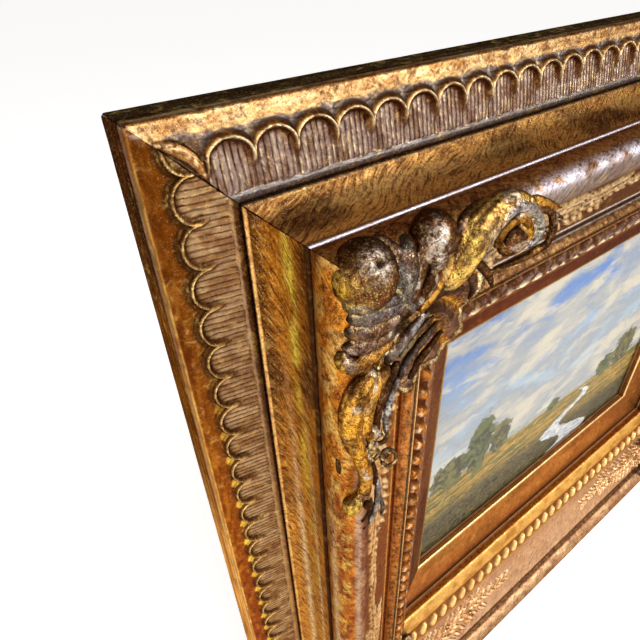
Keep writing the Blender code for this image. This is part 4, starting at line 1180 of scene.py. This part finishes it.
# ================================================================ corner ornaments
# Shapes are laid out from the corner: a along the horizontal rail, b along the vertical rail, h forward.
def tube(path, radii, flat=1.0, flutes=0, up=(0, 0, 1)):
    """Closed limb of round or flattened section along a smooth path. Radii are given at the path's points."""
    sides = 44 if flutes else 14
    p = np.asarray(path, float)
    r = np.asarray(radii, float)
    both = catmull(np.column_stack([p, r]), 6)
    p, r = both[:, :3], np.maximum(both[:, 3], 0.25)
    tan = np.gradient(p, axis=0)
    tan /= np.linalg.norm(tan, axis=1)[:, None]
    up = np.asarray(up, float)
    side = np.cross(tan, up)
    side /= np.linalg.norm(side, axis=1)[:, None]
    top = np.cross(side, tan)
    ang = np.linspace(0, 2 * math.pi, sides, endpoint=False)
    swell = (1 + (0.045 * np.cos(flutes * ang) if flutes else 0 * ang))[None, :, None]
    ring = p[:, None, :] + r[:, None, None] * swell * (np.cos(ang)[None, :, None] * side[:, None, :]
                                                + flat * np.sin(ang)[None, :, None] * top[:, None, :])
    verts = ring.reshape(-1, 3)
    n, m = len(p), sides
    start = p[0] - tan[0] * r[0] * 0.8
    end = p[-1] + tan[-1] * r[-1] * 0.8
    verts = np.vstack([verts, start, end])
    faces = []
    for i in range(n - 1):
        for j in range(m):
            k = (j + 1) % m
            faces += [(i * m + j, (i + 1) * m + j, (i + 1) * m + k), (i * m + j, (i + 1) * m + k, i * m + k)]
    for j in range(m):
        k = (j + 1) % m
        faces += [(n * m, j, k), (n * m + 1, (n - 1) * m + k, (n - 1) * m + j)]
    return verts, faces, np.column_stack([p, r])


def ball(centre, radii, sides=18):
    c, r = np.asarray(centre, float), np.asarray(radii, float)
    rings = sides // 2
    verts = [c + (0, 0, r[2])]
    for i in range(1, rings):
        t = math.pi * i / rings
        for j in range(sides):
            f = 2 * math.pi * j / sides
            verts.append(c + r * (math.sin(t) * math.cos(f), math.sin(t) * math.sin(f), math.cos(t)))
    verts.append(c - (0, 0, r[2]))
    faces = []
    last = len(verts) - 1
    for j in range(sides):
        k = (j + 1) % sides
        faces.append((0, 1 + j, 1 + k))
        faces.append((last, 1 + (rings - 2) * sides + k, 1 + (rings - 2) * sides + j))
        for i in range(rings - 2):
            q = 1 + i * sides
            faces += [(q + j, q + sides + j, q + sides + k), (q + j, q + sides + k, q + k)]
    return np.array(verts), faces, np.array([[*c, float(min(r))]])


# PAINTED_SHADE_FILL, a near-black brown, tints the fills under and between the limbs: painted shade in the gaps
GOLD, PALE, GREY, BROWN, MAUVE, SILVER, YELLOW, UMBER, BRIGHT, PAINTED_SHADE_FILL = range(10)
ORN_TINT = np.array([srgb(230, 164, 66), srgb(236, 204, 146), srgb(110, 104, 108), srgb(100, 58, 28), srgb(142, 110, 98),
                     srgb(216, 214, 218), srgb(244, 196, 84), srgb(104, 60, 22), srgb(250, 200, 108), srgb(52, 29, 12)])

LIMBS = (
    # path (a, b, h), radii, flatness, tint, flutes
    # collar around the knob
    (((63.5, 41.5, 67), (67, 44, 70), (69, 48, 74), (71, 55.5, 75), (70.5, 63.5, 73)),
     (1.4, 2.4, 3.0, 3.0, 2.2), 1.0, GREY),
    # rib a
    (((75.5, 44, 70), (73.5, 47.5, 75), (73, 54, 77.5), (72.5, 62, 77), (74.5, 69.5, 76)),
     (1.8, 2.8, 3, 2.6, 1.6), 1.0, GREY),
    # rib b
    (((79, 48.5, 75.5), (79, 54, 76.5), (76.5, 59, 77.5), (76, 65, 77), (75.5, 70.5, 76.5)),
     (1.6, 2.6, 2.7, 2.3, 1.4), 1.0, BROWN),
    # rib c
    (((87, 60, 75.5), (83, 63.5, 77), (81, 69.5, 76.5), (79.5, 75, 76)),
     (1.6, 2.3, 2, 1.3), 1.0, BROWN),
    # rib d
    (((96.5, 69.5, 73), (91, 71.5, 74.5), (86.5, 75, 75), (83, 78, 75)),
     (1.4, 1.9, 1.7, 1.1), 1.0, GOLD),
    # second lobe
    (((90, 41.5, 67.5), (88, 44.5, 72), (86.5, 47.5, 75), (87, 53, 76), (90.5, 60.5, 74.5)),
     (5.6, 9.2, 8.2, 5.4, 2.6), 1.0, UMBER),
    # leaf hood
    (((100, 73.5, 72.5), (104.5, 67, 73.5), (108, 59.5, 74), (110.5, 50.5, 76), (119.5, 46.5, 74.5), (126, 43.5, 75), (134, 44, 75.5), (143.5, 49, 75), (151, 55.5, 75)),
     (4, 6, 7.2, 7.7, 6.8, 5.2, 3.6, 3, 2.6), 0.96, BRIGHT, 11),
    # silver ridge
    (((118.5, 65.5, 75.5), (117, 58, 77), (118, 51, 78.5), (123, 46.5, 79), (130.5, 46, 78.5), (141.5, 50, 77.5), (151.5, 57, 76), (158.5, 65.5, 75), (159.5, 72.5, 73.5), (154, 75.5, 72)),
     (1.2, 2, 2.6, 2.9, 2.6, 2.4, 2.1, 1.9, 1.5, 1.1), 1.0, SILVER),
    # inner ridge
    (((126, 64, 75), (126, 57, 76.5), (130, 53.5, 77), (137, 53.5, 77), (146.5, 59.5, 75.5), (152.5, 67.5, 74), (149, 71.5, 73)),
     (1.3, 1.9, 2.1, 2, 1.7, 1.5, 1.1), 1.0, GOLD),
    # innermost curl
    (((134.5, 65.5, 74), (134, 60, 75.5), (138.5, 60, 75.5), (145.5, 65.5, 74), (143.5, 68, 73.5)),
     (1.2, 1.6, 1.5, 1.2, 0.9), 1.0, BROWN),
    # outer curl
    (((155.5, 53, 75.5), (166, 62, 74.5), (172, 71.5, 73.5), (171.5, 79, 72), (164.5, 82.5, 70.5), (153.5, 83, 69.5), (142, 82, 69)),
     (1.1, 1.8, 2, 1.9, 1.8, 1.6, 1.2), 1.0, BROWN),
    # under curl
    (((167, 79.5, 70.5), (161.5, 82.5, 69), (151.5, 83.5, 68), (142, 83.5, 67.5), (134.5, 85, 67)),
     (1, 1.4, 1.4, 1.2, 0.9), 1.0, GOLD),
    # fold beside the hood
    (((99, 49, 75), (105, 45.5, 72.5), (112.5, 43.5, 71), (119, 41.5, 72)),
     (1.4, 2, 2.1, 1.5), 1.0, MAUVE),
    # tail 1
    (((143.5, 47.5, 74.5), (151, 49.5, 75), (160.5, 54, 75.5), (176, 61.5, 73)),
     (1.6, 2, 1.6, 0.7), 0.8, GOLD),
    # tail 2
    (((147, 51.5, 75.5), (156.5, 55.5, 75), (170, 62.5, 73.5), (180, 68, 72.5)),
     (1.4, 1.9, 1.5, 0.7), 0.8, BROWN),
    # tail 4
    (((163, 68.5, 71), (173.5, 73, 70), (183, 78, 69.5)),
     (1.2, 1.5, 0.8), 0.8, MAUVE),
    # petal by the leaf foot
    (((118, 70, 70.5), (131, 79.5, 67), (141.5, 90, 64), (150, 100.5, 61)),
     (1.6, 2.4, 2, 1), 0.9, BROWN),
    # petal under it
    (((113.5, 73.5, 70.5), (125.5, 83.5, 66), (133, 94, 62), (135.5, 102.5, 58.5)),
     (1.6, 2.4, 1.9, 1), 0.9, MAUVE),
    # petal 1
    (((46, 60, 73.5), (50, 59, 76.5), (59.5, 62.5, 75), (67, 65, 75.5), (73, 68, 75.5)),
     (2.8, 4.2, 3.8, 2.4, 1.3), 0.85, GREY, 11),
    # petal 2
    (((47, 65.5, 74), (52.5, 66, 76.5), (61.5, 69.5, 75), (68, 70, 75.5), (73.5, 71, 75.5)),
     (2.4, 3.6, 3.4, 2.4, 1.3), 0.85, GREY, 11),
    # petal 3
    (((47.5, 72, 74.5), (53.5, 73, 76.5), (63, 76, 75), (70, 75, 75.5)),
     (2.8, 3.8, 3.4, 2), 0.85, MAUVE, 11),
    # petal 3 tip
    (((46, 71, 73.5), (47.5, 72, 74.5)),
     (2.2, 2.6), 1.0, GOLD),
    # petal 4
    (((45.5, 78.5, 73), (50, 78.5, 76), (59, 81, 75), (66, 80, 75.5)),
     (2.4, 3.5, 3.4, 2.1), 0.85, MAUVE, 11),
    # petal 5
    (((44.5, 85, 72), (47, 87, 75), (52.5, 86.5, 76.5), (60, 86, 75.5), (66, 84.5, 76)),
     (3.4, 3.7, 3.5, 2.9, 1.9), 0.9, GOLD, 11),
    # petal 5 tip
    (((44.5, 83, 71), (45, 86, 73)),
     (3, 3.7), 1.0, YELLOW),
    # blade 1
    (((88, 80.5, 74.5), (81, 82, 75.5), (74, 85, 76.5), (68, 89, 77), (65, 93, 76.5)),
     (1.1, 1.9, 2.3, 2.3, 1.6), 1.0, SILVER),
    # blade 1b
    (((93, 86, 73), (84.5, 88, 74), (78, 91.5, 75), (73, 96.5, 75)),
     (1, 1.5, 1.6, 1.2), 1.0, PALE),
    # blade 2
    (((99, 93, 70.5), (90.5, 96, 72), (83.5, 101, 72), (78, 107.5, 72), (77, 117.5, 70.5)),
     (1.1, 1.8, 2, 1.7, 1.1), 1.0, GREY),
    # blade 3
    (((108.5, 105, 66), (100, 108.5, 67.5), (92.5, 113.5, 68), (88, 122.5, 67)),
     (1.1, 1.7, 1.9, 1.4), 1.0, BROWN),
    # left leaf 1
    (((57.5, 96.5, 75), (51, 98, 76.5), (48, 104.5, 76), (46.5, 113.5, 75), (46.5, 123, 74.5), (48, 133, 75.5), (51.5, 143, 76)),
     (3.6, 5, 5.8, 5.8, 5.2, 4.3, 3.3), 0.95, GOLD, 11),
    # left leaf 2
    (((64.5, 97, 76.5), (59, 101, 77), (55, 106.5, 77), (53, 114.5, 77), (53.5, 124.5, 76.5), (57.5, 136.5, 74.5)),
     (2, 3, 3.4, 3.3, 2.6, 1.6), 1.0, GOLD),
    # left leaf 3
    (((72.5, 100, 74), (67, 104.5, 75), (63.5, 112, 75), (61.5, 120.5, 74.5), (61.5, 130, 74), (62.5, 138, 73.5)),
     (1.7, 2.3, 2.5, 2.3, 1.9, 1.3), 1.0, BROWN),
    # left leaf 4
    (((78.5, 112, 70), (74, 117.5, 71), (71, 125.5, 71.5), (70, 135, 71.5), (70, 143, 71.5)),
     (1.2, 1.8, 2.1, 1.9, 1.3), 1.0, SILVER),
    # lip outer
    (((55, 130, 75.5), (57, 137, 75), (62, 142.5, 74.5), (67.5, 144.5, 74), (69.5, 140, 73.5)),
     (0.9, 1.2, 1.3, 1.2, 0.9), 1.0, PALE),
    # lip inner
    (((57, 130.5, 75.5), (60.5, 136.5, 75), (65, 138.5, 74.5)),
     (0.85, 1, 0.95), 1.0, PALE),
    # eye 1 rim
    (((51.5, 140.5, 76), (53, 138.5, 76), (58.5, 143, 75), (63, 149, 74.5), (61.5, 152.5, 74.5), (55.5, 148, 75.5), (52, 143, 76)),
     (1, 1.05, 1.1, 1.1, 1.1, 1, 0.95), 1.0, PALE),
    # eye 2 rim
    (((66, 157, 72.5), (68.5, 154, 72.5), (73.5, 157.5, 72.5), (77.5, 165.5, 72), (77, 170.5, 71.5), (71.5, 168, 72), (67.5, 162.5, 72)),
     (1, 1.1, 1.2, 1.2, 1.2, 1.1, 1), 1.0, PALE),
    # stem
    (((48.5, 135.5, 75.5), (51, 145, 76), (53.5, 154, 76.5), (54, 162.5, 76), (52.5, 167.5, 76.5)),
     (2.8, 3.5, 3.5, 3.4, 3.8), 0.95, GOLD),
    # stem side
    (((61, 157, 72.5), (63, 166, 72.5), (63.5, 176, 72)),
     (1.3, 1.6, 1.3), 1.0, BROWN),
    # bud neck
    (((52, 169, 76), (48, 171, 75.5)),
     (2.2, 2.6), 1.0, BROWN),
    # spray 1
    (((66, 174.5, 71), (66.5, 185.5, 71.5), (65.5, 197.5, 71.5), (62, 207, 71), (54, 202, 75.5)),
     (1.2, 2, 2.1, 1.6, 0.9), 0.8, SILVER),
    # spray 2
    (((60.5, 184, 73), (60, 191, 73.5), (56, 193.5, 75), (52.5, 194, 75.5)),
     (1, 1.5, 1.1, 0.7), 0.8, BROWN),
    # spray 3
    (((69.5, 192.5, 70), (72, 205, 70), (71.5, 213, 69.5)),
     (0.9, 1.4, 0.9), 0.8, SILVER),
)
BALLS = (
    ((55.5, 52, 71.5), (12.6, 14.4, 12.4), UMBER),   # knob
    ((75.5, 71.5, 77), (2.2, 2.2, 2.0), SILVER),   # pearl
    ((46.5, 174, 75.5), (5.0, 5.3, 5.0), YELLOW),   # bud
    ((54, 178.5, 77.5), (2.5, 2.6, 2.4), BROWN),   # berry
    # the dark fills from here on: painted shade in the gaps between the limbs
    ((147, 66.5, 70), (12.5, 11, 5), PAINTED_SHADE_FILL),   # scroll floor
    ((58, 147, 73.6), (3.8, 2.8, 1.6), PAINTED_SHADE_FILL),   # eye 1 floor
    ((72.0, 162.5, 69.4), (4.0, 4.6, 1.4), PAINTED_SHADE_FILL),   # eye 2 floor
    ((85.5, 68.5, 70), (12, 11, 6.5), PAINTED_SHADE_FILL),   # between
    ((102.5, 65.5, 68), (10, 9, 6), PAINTED_SHADE_FILL),   # lobe skirt
    ((76.0, 74.0, 69.5), (10.0, 9.0, 5.0), PAINTED_SHADE_FILL),           # heart
    ((66.0, 62.0, 69.0), (12.0, 9.0, 5.5), PAINTED_SHADE_FILL),
    ((88.0, 66.0, 67.0), (13.0, 9.0, 6.0), PAINTED_SHADE_FILL),
    ((64.0, 84.0, 70.0), (11.0, 12.0, 5.5), PAINTED_SHADE_FILL),
    ((58.0, 104.0, 70.0), (10.0, 18.0, 5.0), PAINTED_SHADE_FILL),
    ((59.0, 130.0, 69.5), (9.0, 14.0, 4.0), PAINTED_SHADE_FILL),
    ((112.0, 60.0, 69.0), (18.0, 9.0, 5.0), PAINTED_SHADE_FILL),
    ((84.0, 92.0, 62.0), (12.0, 12.0, 7.0), PAINTED_SHADE_FILL),
    ((50.0, 150.0, 68.0), (7.0, 16.0, 4.0), PAINTED_SHADE_FILL),
)
# outline of the tongue over the inner corner: direction from its root in degrees, reach
TONGUE_ROOT = (86.0, 84.0)
TONGUE_EDGE = ((-24, 24), (-8, 44), (4, 63), (10, 73), (14, 79), (18, 79), (22, 75), (27, 72.5), (33, 73.5), (39, 78),
               (44.5, 82.5), (48, 79), (53, 73.5), (61, 72), (66, 75.5), (71, 77), (76, 74), (79.5, 65), (85, 46), (95, 26))


def tongue():
    """Fluted leaf that falls from the crest over the inner corner, with a raised rim."""
    cols, rings = 100, 34
    ang = np.linspace(-24, 95, cols)
    reach = np.interp(ang, *np.array(TONGUE_EDGE, float).T)
    share = np.linspace(0.02, 1.0, rings)[:, None]
    r = reach[None, :] * share
    fall = np.interp(r, (0, 18, 38, 56, 70, 84), (67.5, 62.5, 55.5, 51.5, 48.8, 46.2))
    turned = ang[None, :] + 5 * np.sin(r / 16)
    flute = 1.9 * np.cos(np.radians(turned) * 360 / 17.0) * smooth(6, 20, r)
    vein = 0.40 * np.cos(np.radians(turned) * 360 / 5.6) * smooth(20, 36, r)
    rim = 2.0 * np.exp(-((reach[None, :] - r - 1.2) / 1.1) ** 2) - 1.0 * np.exp(-((reach[None, :] - r - 3.8) / 1.3) ** 2)
    top = fall + flute + vein + rim
    rad = np.radians(ang)[None, :]
    x, y = TONGUE_ROOT[0] + r * np.cos(rad), TONGUE_ROOT[1] + r * np.sin(rad)
    upper = np.stack([x, y, top], -1).reshape(-1, 3)
    lower = np.stack([x, y, fall - 5.0], -1).reshape(-1, 3)
    ids = np.arange(rings * cols).reshape(rings, cols)
    n = rings * cols
    faces = []
    for i in range(rings - 1):
        for j in range(cols - 1):
            a, b, c, d = ids[i, j], ids[i + 1, j], ids[i + 1, j + 1], ids[i, j + 1]
            faces += [(a, b, c), (a, c, d), (n + a, n + c, n + b), (n + a, n + d, n + c)]
    ring = [*ids[0, :], *ids[1:, -1], *ids[-1, -2::-1], *ids[-2:0:-1, 0]]
    for a, b in zip(ring, ring[1:] + ring[:1]):
        faces += [(a, b, n + b), (a, n + b, n + a)]
    bones = np.column_stack([upper, np.full(n, 0.4)]).reshape(rings, cols, 4)
    tone = np.where(np.cos(np.radians(turned) * 360 / 17.0) > -0.5, MAUVE, GOLD)
    tone = np.where(reach[None, :] - r < 2.6, PALE, tone)
    return np.vstack([upper, lower]), faces, bones[::2, ::2].reshape(-1, 4), tone[::2, ::2].ravel()


def casting(voxel):
    """All the limbs fused into one skin."""
    verts, faces, skeleton, tones = [], [], [], []
    count = 0
    shapes = [(tube(*limb[:3], *limb[4:]), limb[3]) for limb in LIMBS] + [(ball(c, r), t) for c, r, t in BALLS]
    leaf = tongue()
    shapes.append((leaf[:3], leaf[3]))
    for (v, f, bones), tone in shapes:
        verts.append(v)
        faces += [tuple(i + count for i in tri) for tri in f]
        count += len(v)
        skeleton.append(bones)
        tones += [tone] * len(bones) if np.isscalar(tone) else list(tone)
    verts = np.concatenate(verts)
    mesh = bpy.data.meshes.new("casting")
    mesh.from_pydata([(a, b, h) for a, b, h in verts], [], faces)
    obj = bpy.data.objects.new("casting", mesh)
    bpy.context.scene.collection.objects.link(obj)
    fuse = obj.modifiers.new("fuse", "REMESH")
    fuse.mode = "VOXEL"
    fuse.voxel_size = voxel
    fuse.use_smooth_shade = True
    relax = obj.modifiers.new("relax", "SMOOTH")
    relax.factor, relax.iterations = 0.5, 1
    done = bpy.data.meshes.new_from_object(obj.evaluated_get(bpy.context.evaluated_depsgraph_get()))
    points = coords(done)
    loops = np.empty(len(done.loops), np.int32)
    done.loops.foreach_get("vertex_index", loops)
    quads = loops.reshape(-1, 4) if len(loops) == 4 * len(done.polygons) else None
    if quads is None:
        done.calc_loop_triangles()
        tri = np.empty(len(done.loop_triangles) * 3, np.int32)
        done.loop_triangles.foreach_get("vertices", tri)
        quads = tri.reshape(-1, 3)
    normals = np.empty(len(done.vertices) * 3, np.float32)
    done.vertices.foreach_get("normal", normals)
    bpy.data.objects.remove(obj, do_unlink=True)
    return points, normals.reshape(-1, 3).astype(float), quads, np.concatenate(skeleton), np.array(tones)


def tone_of(points, skeleton, tones):
    """Tint of each point, from the limbs nearest to it."""
    out = np.empty((len(points), 3))
    for i in range(0, len(points), 4000):
        p = points[i:i + 4000]
        d = np.sqrt(((p[:, None, :] - skeleton[None, :, :3]) ** 2).sum(2)) - skeleton[None, :, 3]
        w = np.exp(-(d - d.min(1, keepdims=True)) / 0.4)
        out[i:i + 4000] = (w @ ORN_TINT[tones]) / w.sum(1, keepdims=True)
    return out


PIT = (54.5, 42.9, 80.9)            # an air hole in the knob, with a painted highlight round it
# painted highlights: pale glint patches on the knob, the lobe and the hood
GLINTS = ((PIT, 22.0, 1.0), ((81.0, 43.0, 80.2), 14.0, 0.8), ((84.0, 50.0, 79.8), 16.0, 1.0), ((88.0, 56.5, 77.6), 8.0, 0.9),
          ((114.0, 51.5, 82.0), 18.0, 0.6))
KNOB_LIT_PATCH = (43.4, 55.0, 72.5)      # centre of a painted patch of yellow light on the knob's lower left


def ornament(name, cast, seed, flip_x, flip_z, corner):
    points, normals, faces, skeleton, tones = cast
    tint = tone_of(points, skeleton, tones)
    x, y, z = points.T
    rough = 0.26 * fbm(x / 5.5, y / 5.5, z / 5.5, seed, 3) + 0.14 * fbm(x / 1.7, y / 1.7, z / 1.7, seed + 1, 2)
    pits = smooth(0.70, 0.88, noise(x / 1.9, y / 1.9, z / 1.9, seed + 2))
    p = points + normals * (rough - 0.40 * pits)[:, None]
    dimple = np.exp(-(((p - PIT) ** 2).sum(1)) / 2.2)
    p = p - normals * (1.2 * dimple)[:, None]
    glint = np.clip(sum(w * np.exp(-(((p - c) ** 2).sum(1)) / r) for c, r, w in GLINTS), 0, 1)
    p[:, 2] = np.minimum(p[:, 2], -CAD_LO.y / MM - 0.1)
    painted_glint = glint * smooth(0.32, 0.50, noise(x / 0.8, y / 0.8, z / 0.8, seed + 5))      # painted highlight: pale, and less metallic
    # painted shade darkens what faces up, and painted light brightens what faces down and to the left
    shade_up = smooth(0.15, 0.80, normals @ np.array([0.28, -0.90, -0.33])) * smooth(64, 70, z)
    tint = blend(tint, tint * np.array([0.34, 0.28, 0.20]), 0.85 * shade_up)
    lit = smooth(0.35, 0.85, normals @ np.array([-0.72, 0.60, 0.34])) * smooth(64, 70, z)
    tint = blend(tint, tint * np.array([1.42, 1.46, 1.15]), 0.8 * lit)
    # painted light: a yellow patch on the knob's lower left
    tint = blend(tint, srgb(255, 206, 70), 0.95 * np.exp(-(((p - KNOB_LIT_PATCH) ** 2).sum(1)) / 60.0) * smooth(0.30, 0.5, noise(x / 1.6, y / 1.6, z / 1.6, seed + 8)))
    # silvery rubbed patches, and dark old glaze lying in drifts
    tint = blend(tint, srgb(250, 240, 226), 0.6 * smooth(0.68, 0.80, noise(x / 5, y / 5, z / 5, seed + 4)) * smooth(70, 76, z) * smooth(0.9, 0.4, np.exp(-(((p - (55.5, 52.0, 71.5)) ** 2).sum(1)) / 600.0)))
    tint = blend(tint, srgb(98, 56, 24), 0.70 * smooth(0.50, 0.72, noise(x / 6, y / 6, z / 6, seed + 6)) * (1 - 0.8 * glint))
    # painted highlight
    tint = blend(tint, srgb(255, 246, 230), 0.95 * painted_glint)
    tint = blend(tint, srgb(24, 11, 6), np.clip(1.7 * dimple, 0, 1))
    tint = blend(tint, srgb(52, 28, 12), 0.60 * smooth(0.62, 0.72, noise(x / 1.4, y / 1.4, z / 1.4, seed + 7)))
    world = np.stack([corner[0] + flip_x * p[:, 0], -p[:, 2], corner[1] - flip_z * p[:, 1]], 1)
    # plan (a, b, h) to world (x, y, z) = (a, -h, -b) keeps handedness; each flip turns faces round
    order = faces[:, ::-1] if flip_x * flip_z < 0 else faces
    obj = mesh_from(name, world, [order])
    shade(obj, 80)
    paint(obj, tint, 0.0, 0.6, fine=(0.07, 0.32), broad=(0.03, 0.18), extra_dark=1.6 * dimple, wear_gain=1.3,
          leafed=np.clip(1 - 0.62 * painted_glint - 1.3 * dimple, 0, 1))
    return obj


ornament_finish = gilt("gilt_ornament_leaf", metal=0.92, rough=0.25, mottle=0.8, seed=7.7, pits=1.3, fleck=0.6, crackle=0.85)
fine_cast, plain_cast = casting(0.75), casting(1.65)
for name, node, cast, seed, fx, fz, corner in (
    ("ornament_corner_top_left", "ornament_top_left", fine_cast, 101, 1, 1, (LEFT_X, TOP_Z)),
    ("ornament_corner_top_right", "ornament_top_right", plain_cast, 102, -1, 1, (RIGHT_X, TOP_Z)),
    ("ornament_corner_bottom_left", "ornament_bottom_left", plain_cast, 103, 1, -1, (LEFT_X, LOW_Z)),
    ("ornament_corner_bottom_right", "ornament_bottom_right", plain_cast, 104, -1, -1, (RIGHT_X, LOW_Z)),
):
    piece = ornament(name, cast, seed, fx, fz, corner)
    piece.data.materials.append(ornament_finish)
    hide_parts(node)
    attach(piece, "root")


# ================================================================ floor, light, camera
def floor():
    mesh = bpy.data.meshes.new("floor")
    half, z = 30.0, LOW_Z * MM - 0.004
    mesh.from_pydata([(-half, -half, z), (half, -half, z), (half, half, z), (-half, half, z)], [], [(0, 1, 2, 3)])
    obj = bpy.data.objects.new("floor", mesh)
    bpy.context.scene.collection.objects.link(obj)
    g = Nodes("floor_pale")
    g.shader.inputs["Base Color"].default_value = (0.90, 0.90, 0.90, 1)
    g.shader.inputs["Roughness"].default_value = 0.9
    g.shader.inputs["Emission Color"].default_value = (1, 1, 1, 1)
    g.shader.inputs["Emission Strength"].default_value = 0.62
    obj.data.materials.append(g.mat)
    obj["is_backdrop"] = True


def area(name, toward, distance, size, power, colour, target=(-0.25, -0.05, -0.10)):
    light = bpy.data.lights.new(name, "AREA")
    light.shape = "RECTANGLE"
    light.size, light.size_y = size
    light.energy = power
    light.color = colour
    obj = bpy.data.objects.new(name, light)
    v = Vector(toward).normalized()
    obj.location = Vector(target) + v * distance
    obj.rotation_euler = v.to_track_quat("Z", "Y").to_euler()
    bpy.context.scene.collection.objects.link(obj)
    return obj


floor()
area("window_right", (0.57, -0.69, 0.42), 2.0, (0.6, 0.9), 22, (0.93, 0.97, 1.0))
area("window_high", (0.315, -0.734, 0.602), 2.2, (0.28, 0.34), 9, (1.0, 0.98, 0.95))
area("soft_left", (-0.85, -0.45, 0.10), 2.2, (0.8, 1.1), 17, (1.0, 0.95, 0.86))
area("soft_top", (-0.15, -0.55, 0.80), 2.2, (0.8, 0.6), 13, (1.0, 0.98, 0.95))

world = bpy.data.worlds.new("studio")
bpy.context.scene.world = world
world.use_nodes = True
background = world.node_tree.nodes["Background"]
tree = world.node_tree
look = tree.nodes.new("ShaderNodeTexCoord")
axes = tree.nodes.new("ShaderNodeSeparateXYZ")
tree.links.new(look.outputs["Generated"], axes.inputs[0])
fade = tree.nodes.new("ShaderNodeMapRange")
fade.interpolation_type = "SMOOTHSTEP"
for value, socket in ((-0.55, 1), (0.60, 2), (0.66, 3), (0.08, 4)):
    fade.inputs[socket].default_value = value
tree.links.new(axes.outputs[1], fade.inputs[0])
background.inputs[0].default_value = (1.0, 0.975, 0.94, 1)
tree.links.new(fade.outputs[0], background.inputs[1])

camera = bpy.data.cameras.new("camera")
camera.sensor_fit = "HORIZONTAL"
camera.sensor_width = 36.0
camera.lens = 28.845
camera.clip_start, camera.clip_end = 0.01, 100.0
eye = bpy.data.objects.new("camera", camera)
RIGHT = Vector((0.8036991, -0.5936087, -0.0411878))
UP = Vector((0.3751471, 0.4517568, 0.8094322))
BACK = Vector((-0.4618791, -0.6659914, 0.5857671))
pose = Matrix.Identity(4)
for i in range(3):
    pose[i][0], pose[i][1], pose[i][2] = RIGHT[i], UP[i], BACK[i]
pose[0][3], pose[1][3], pose[2][3] = -0.425038, -0.189535, 0.101558
eye.matrix_world = pose
bpy.context.scene.collection.objects.link(eye)
bpy.context.scene.camera = eye
bpy.context.scene.view_settings.view_transform = "Standard"

bpy.context.view_layer.update()
count = {o.name: sum(len(p.vertices) - 2 for p in o.data.polygons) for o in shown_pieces()}
print("TRIANGLES", sum(count.values()), count)
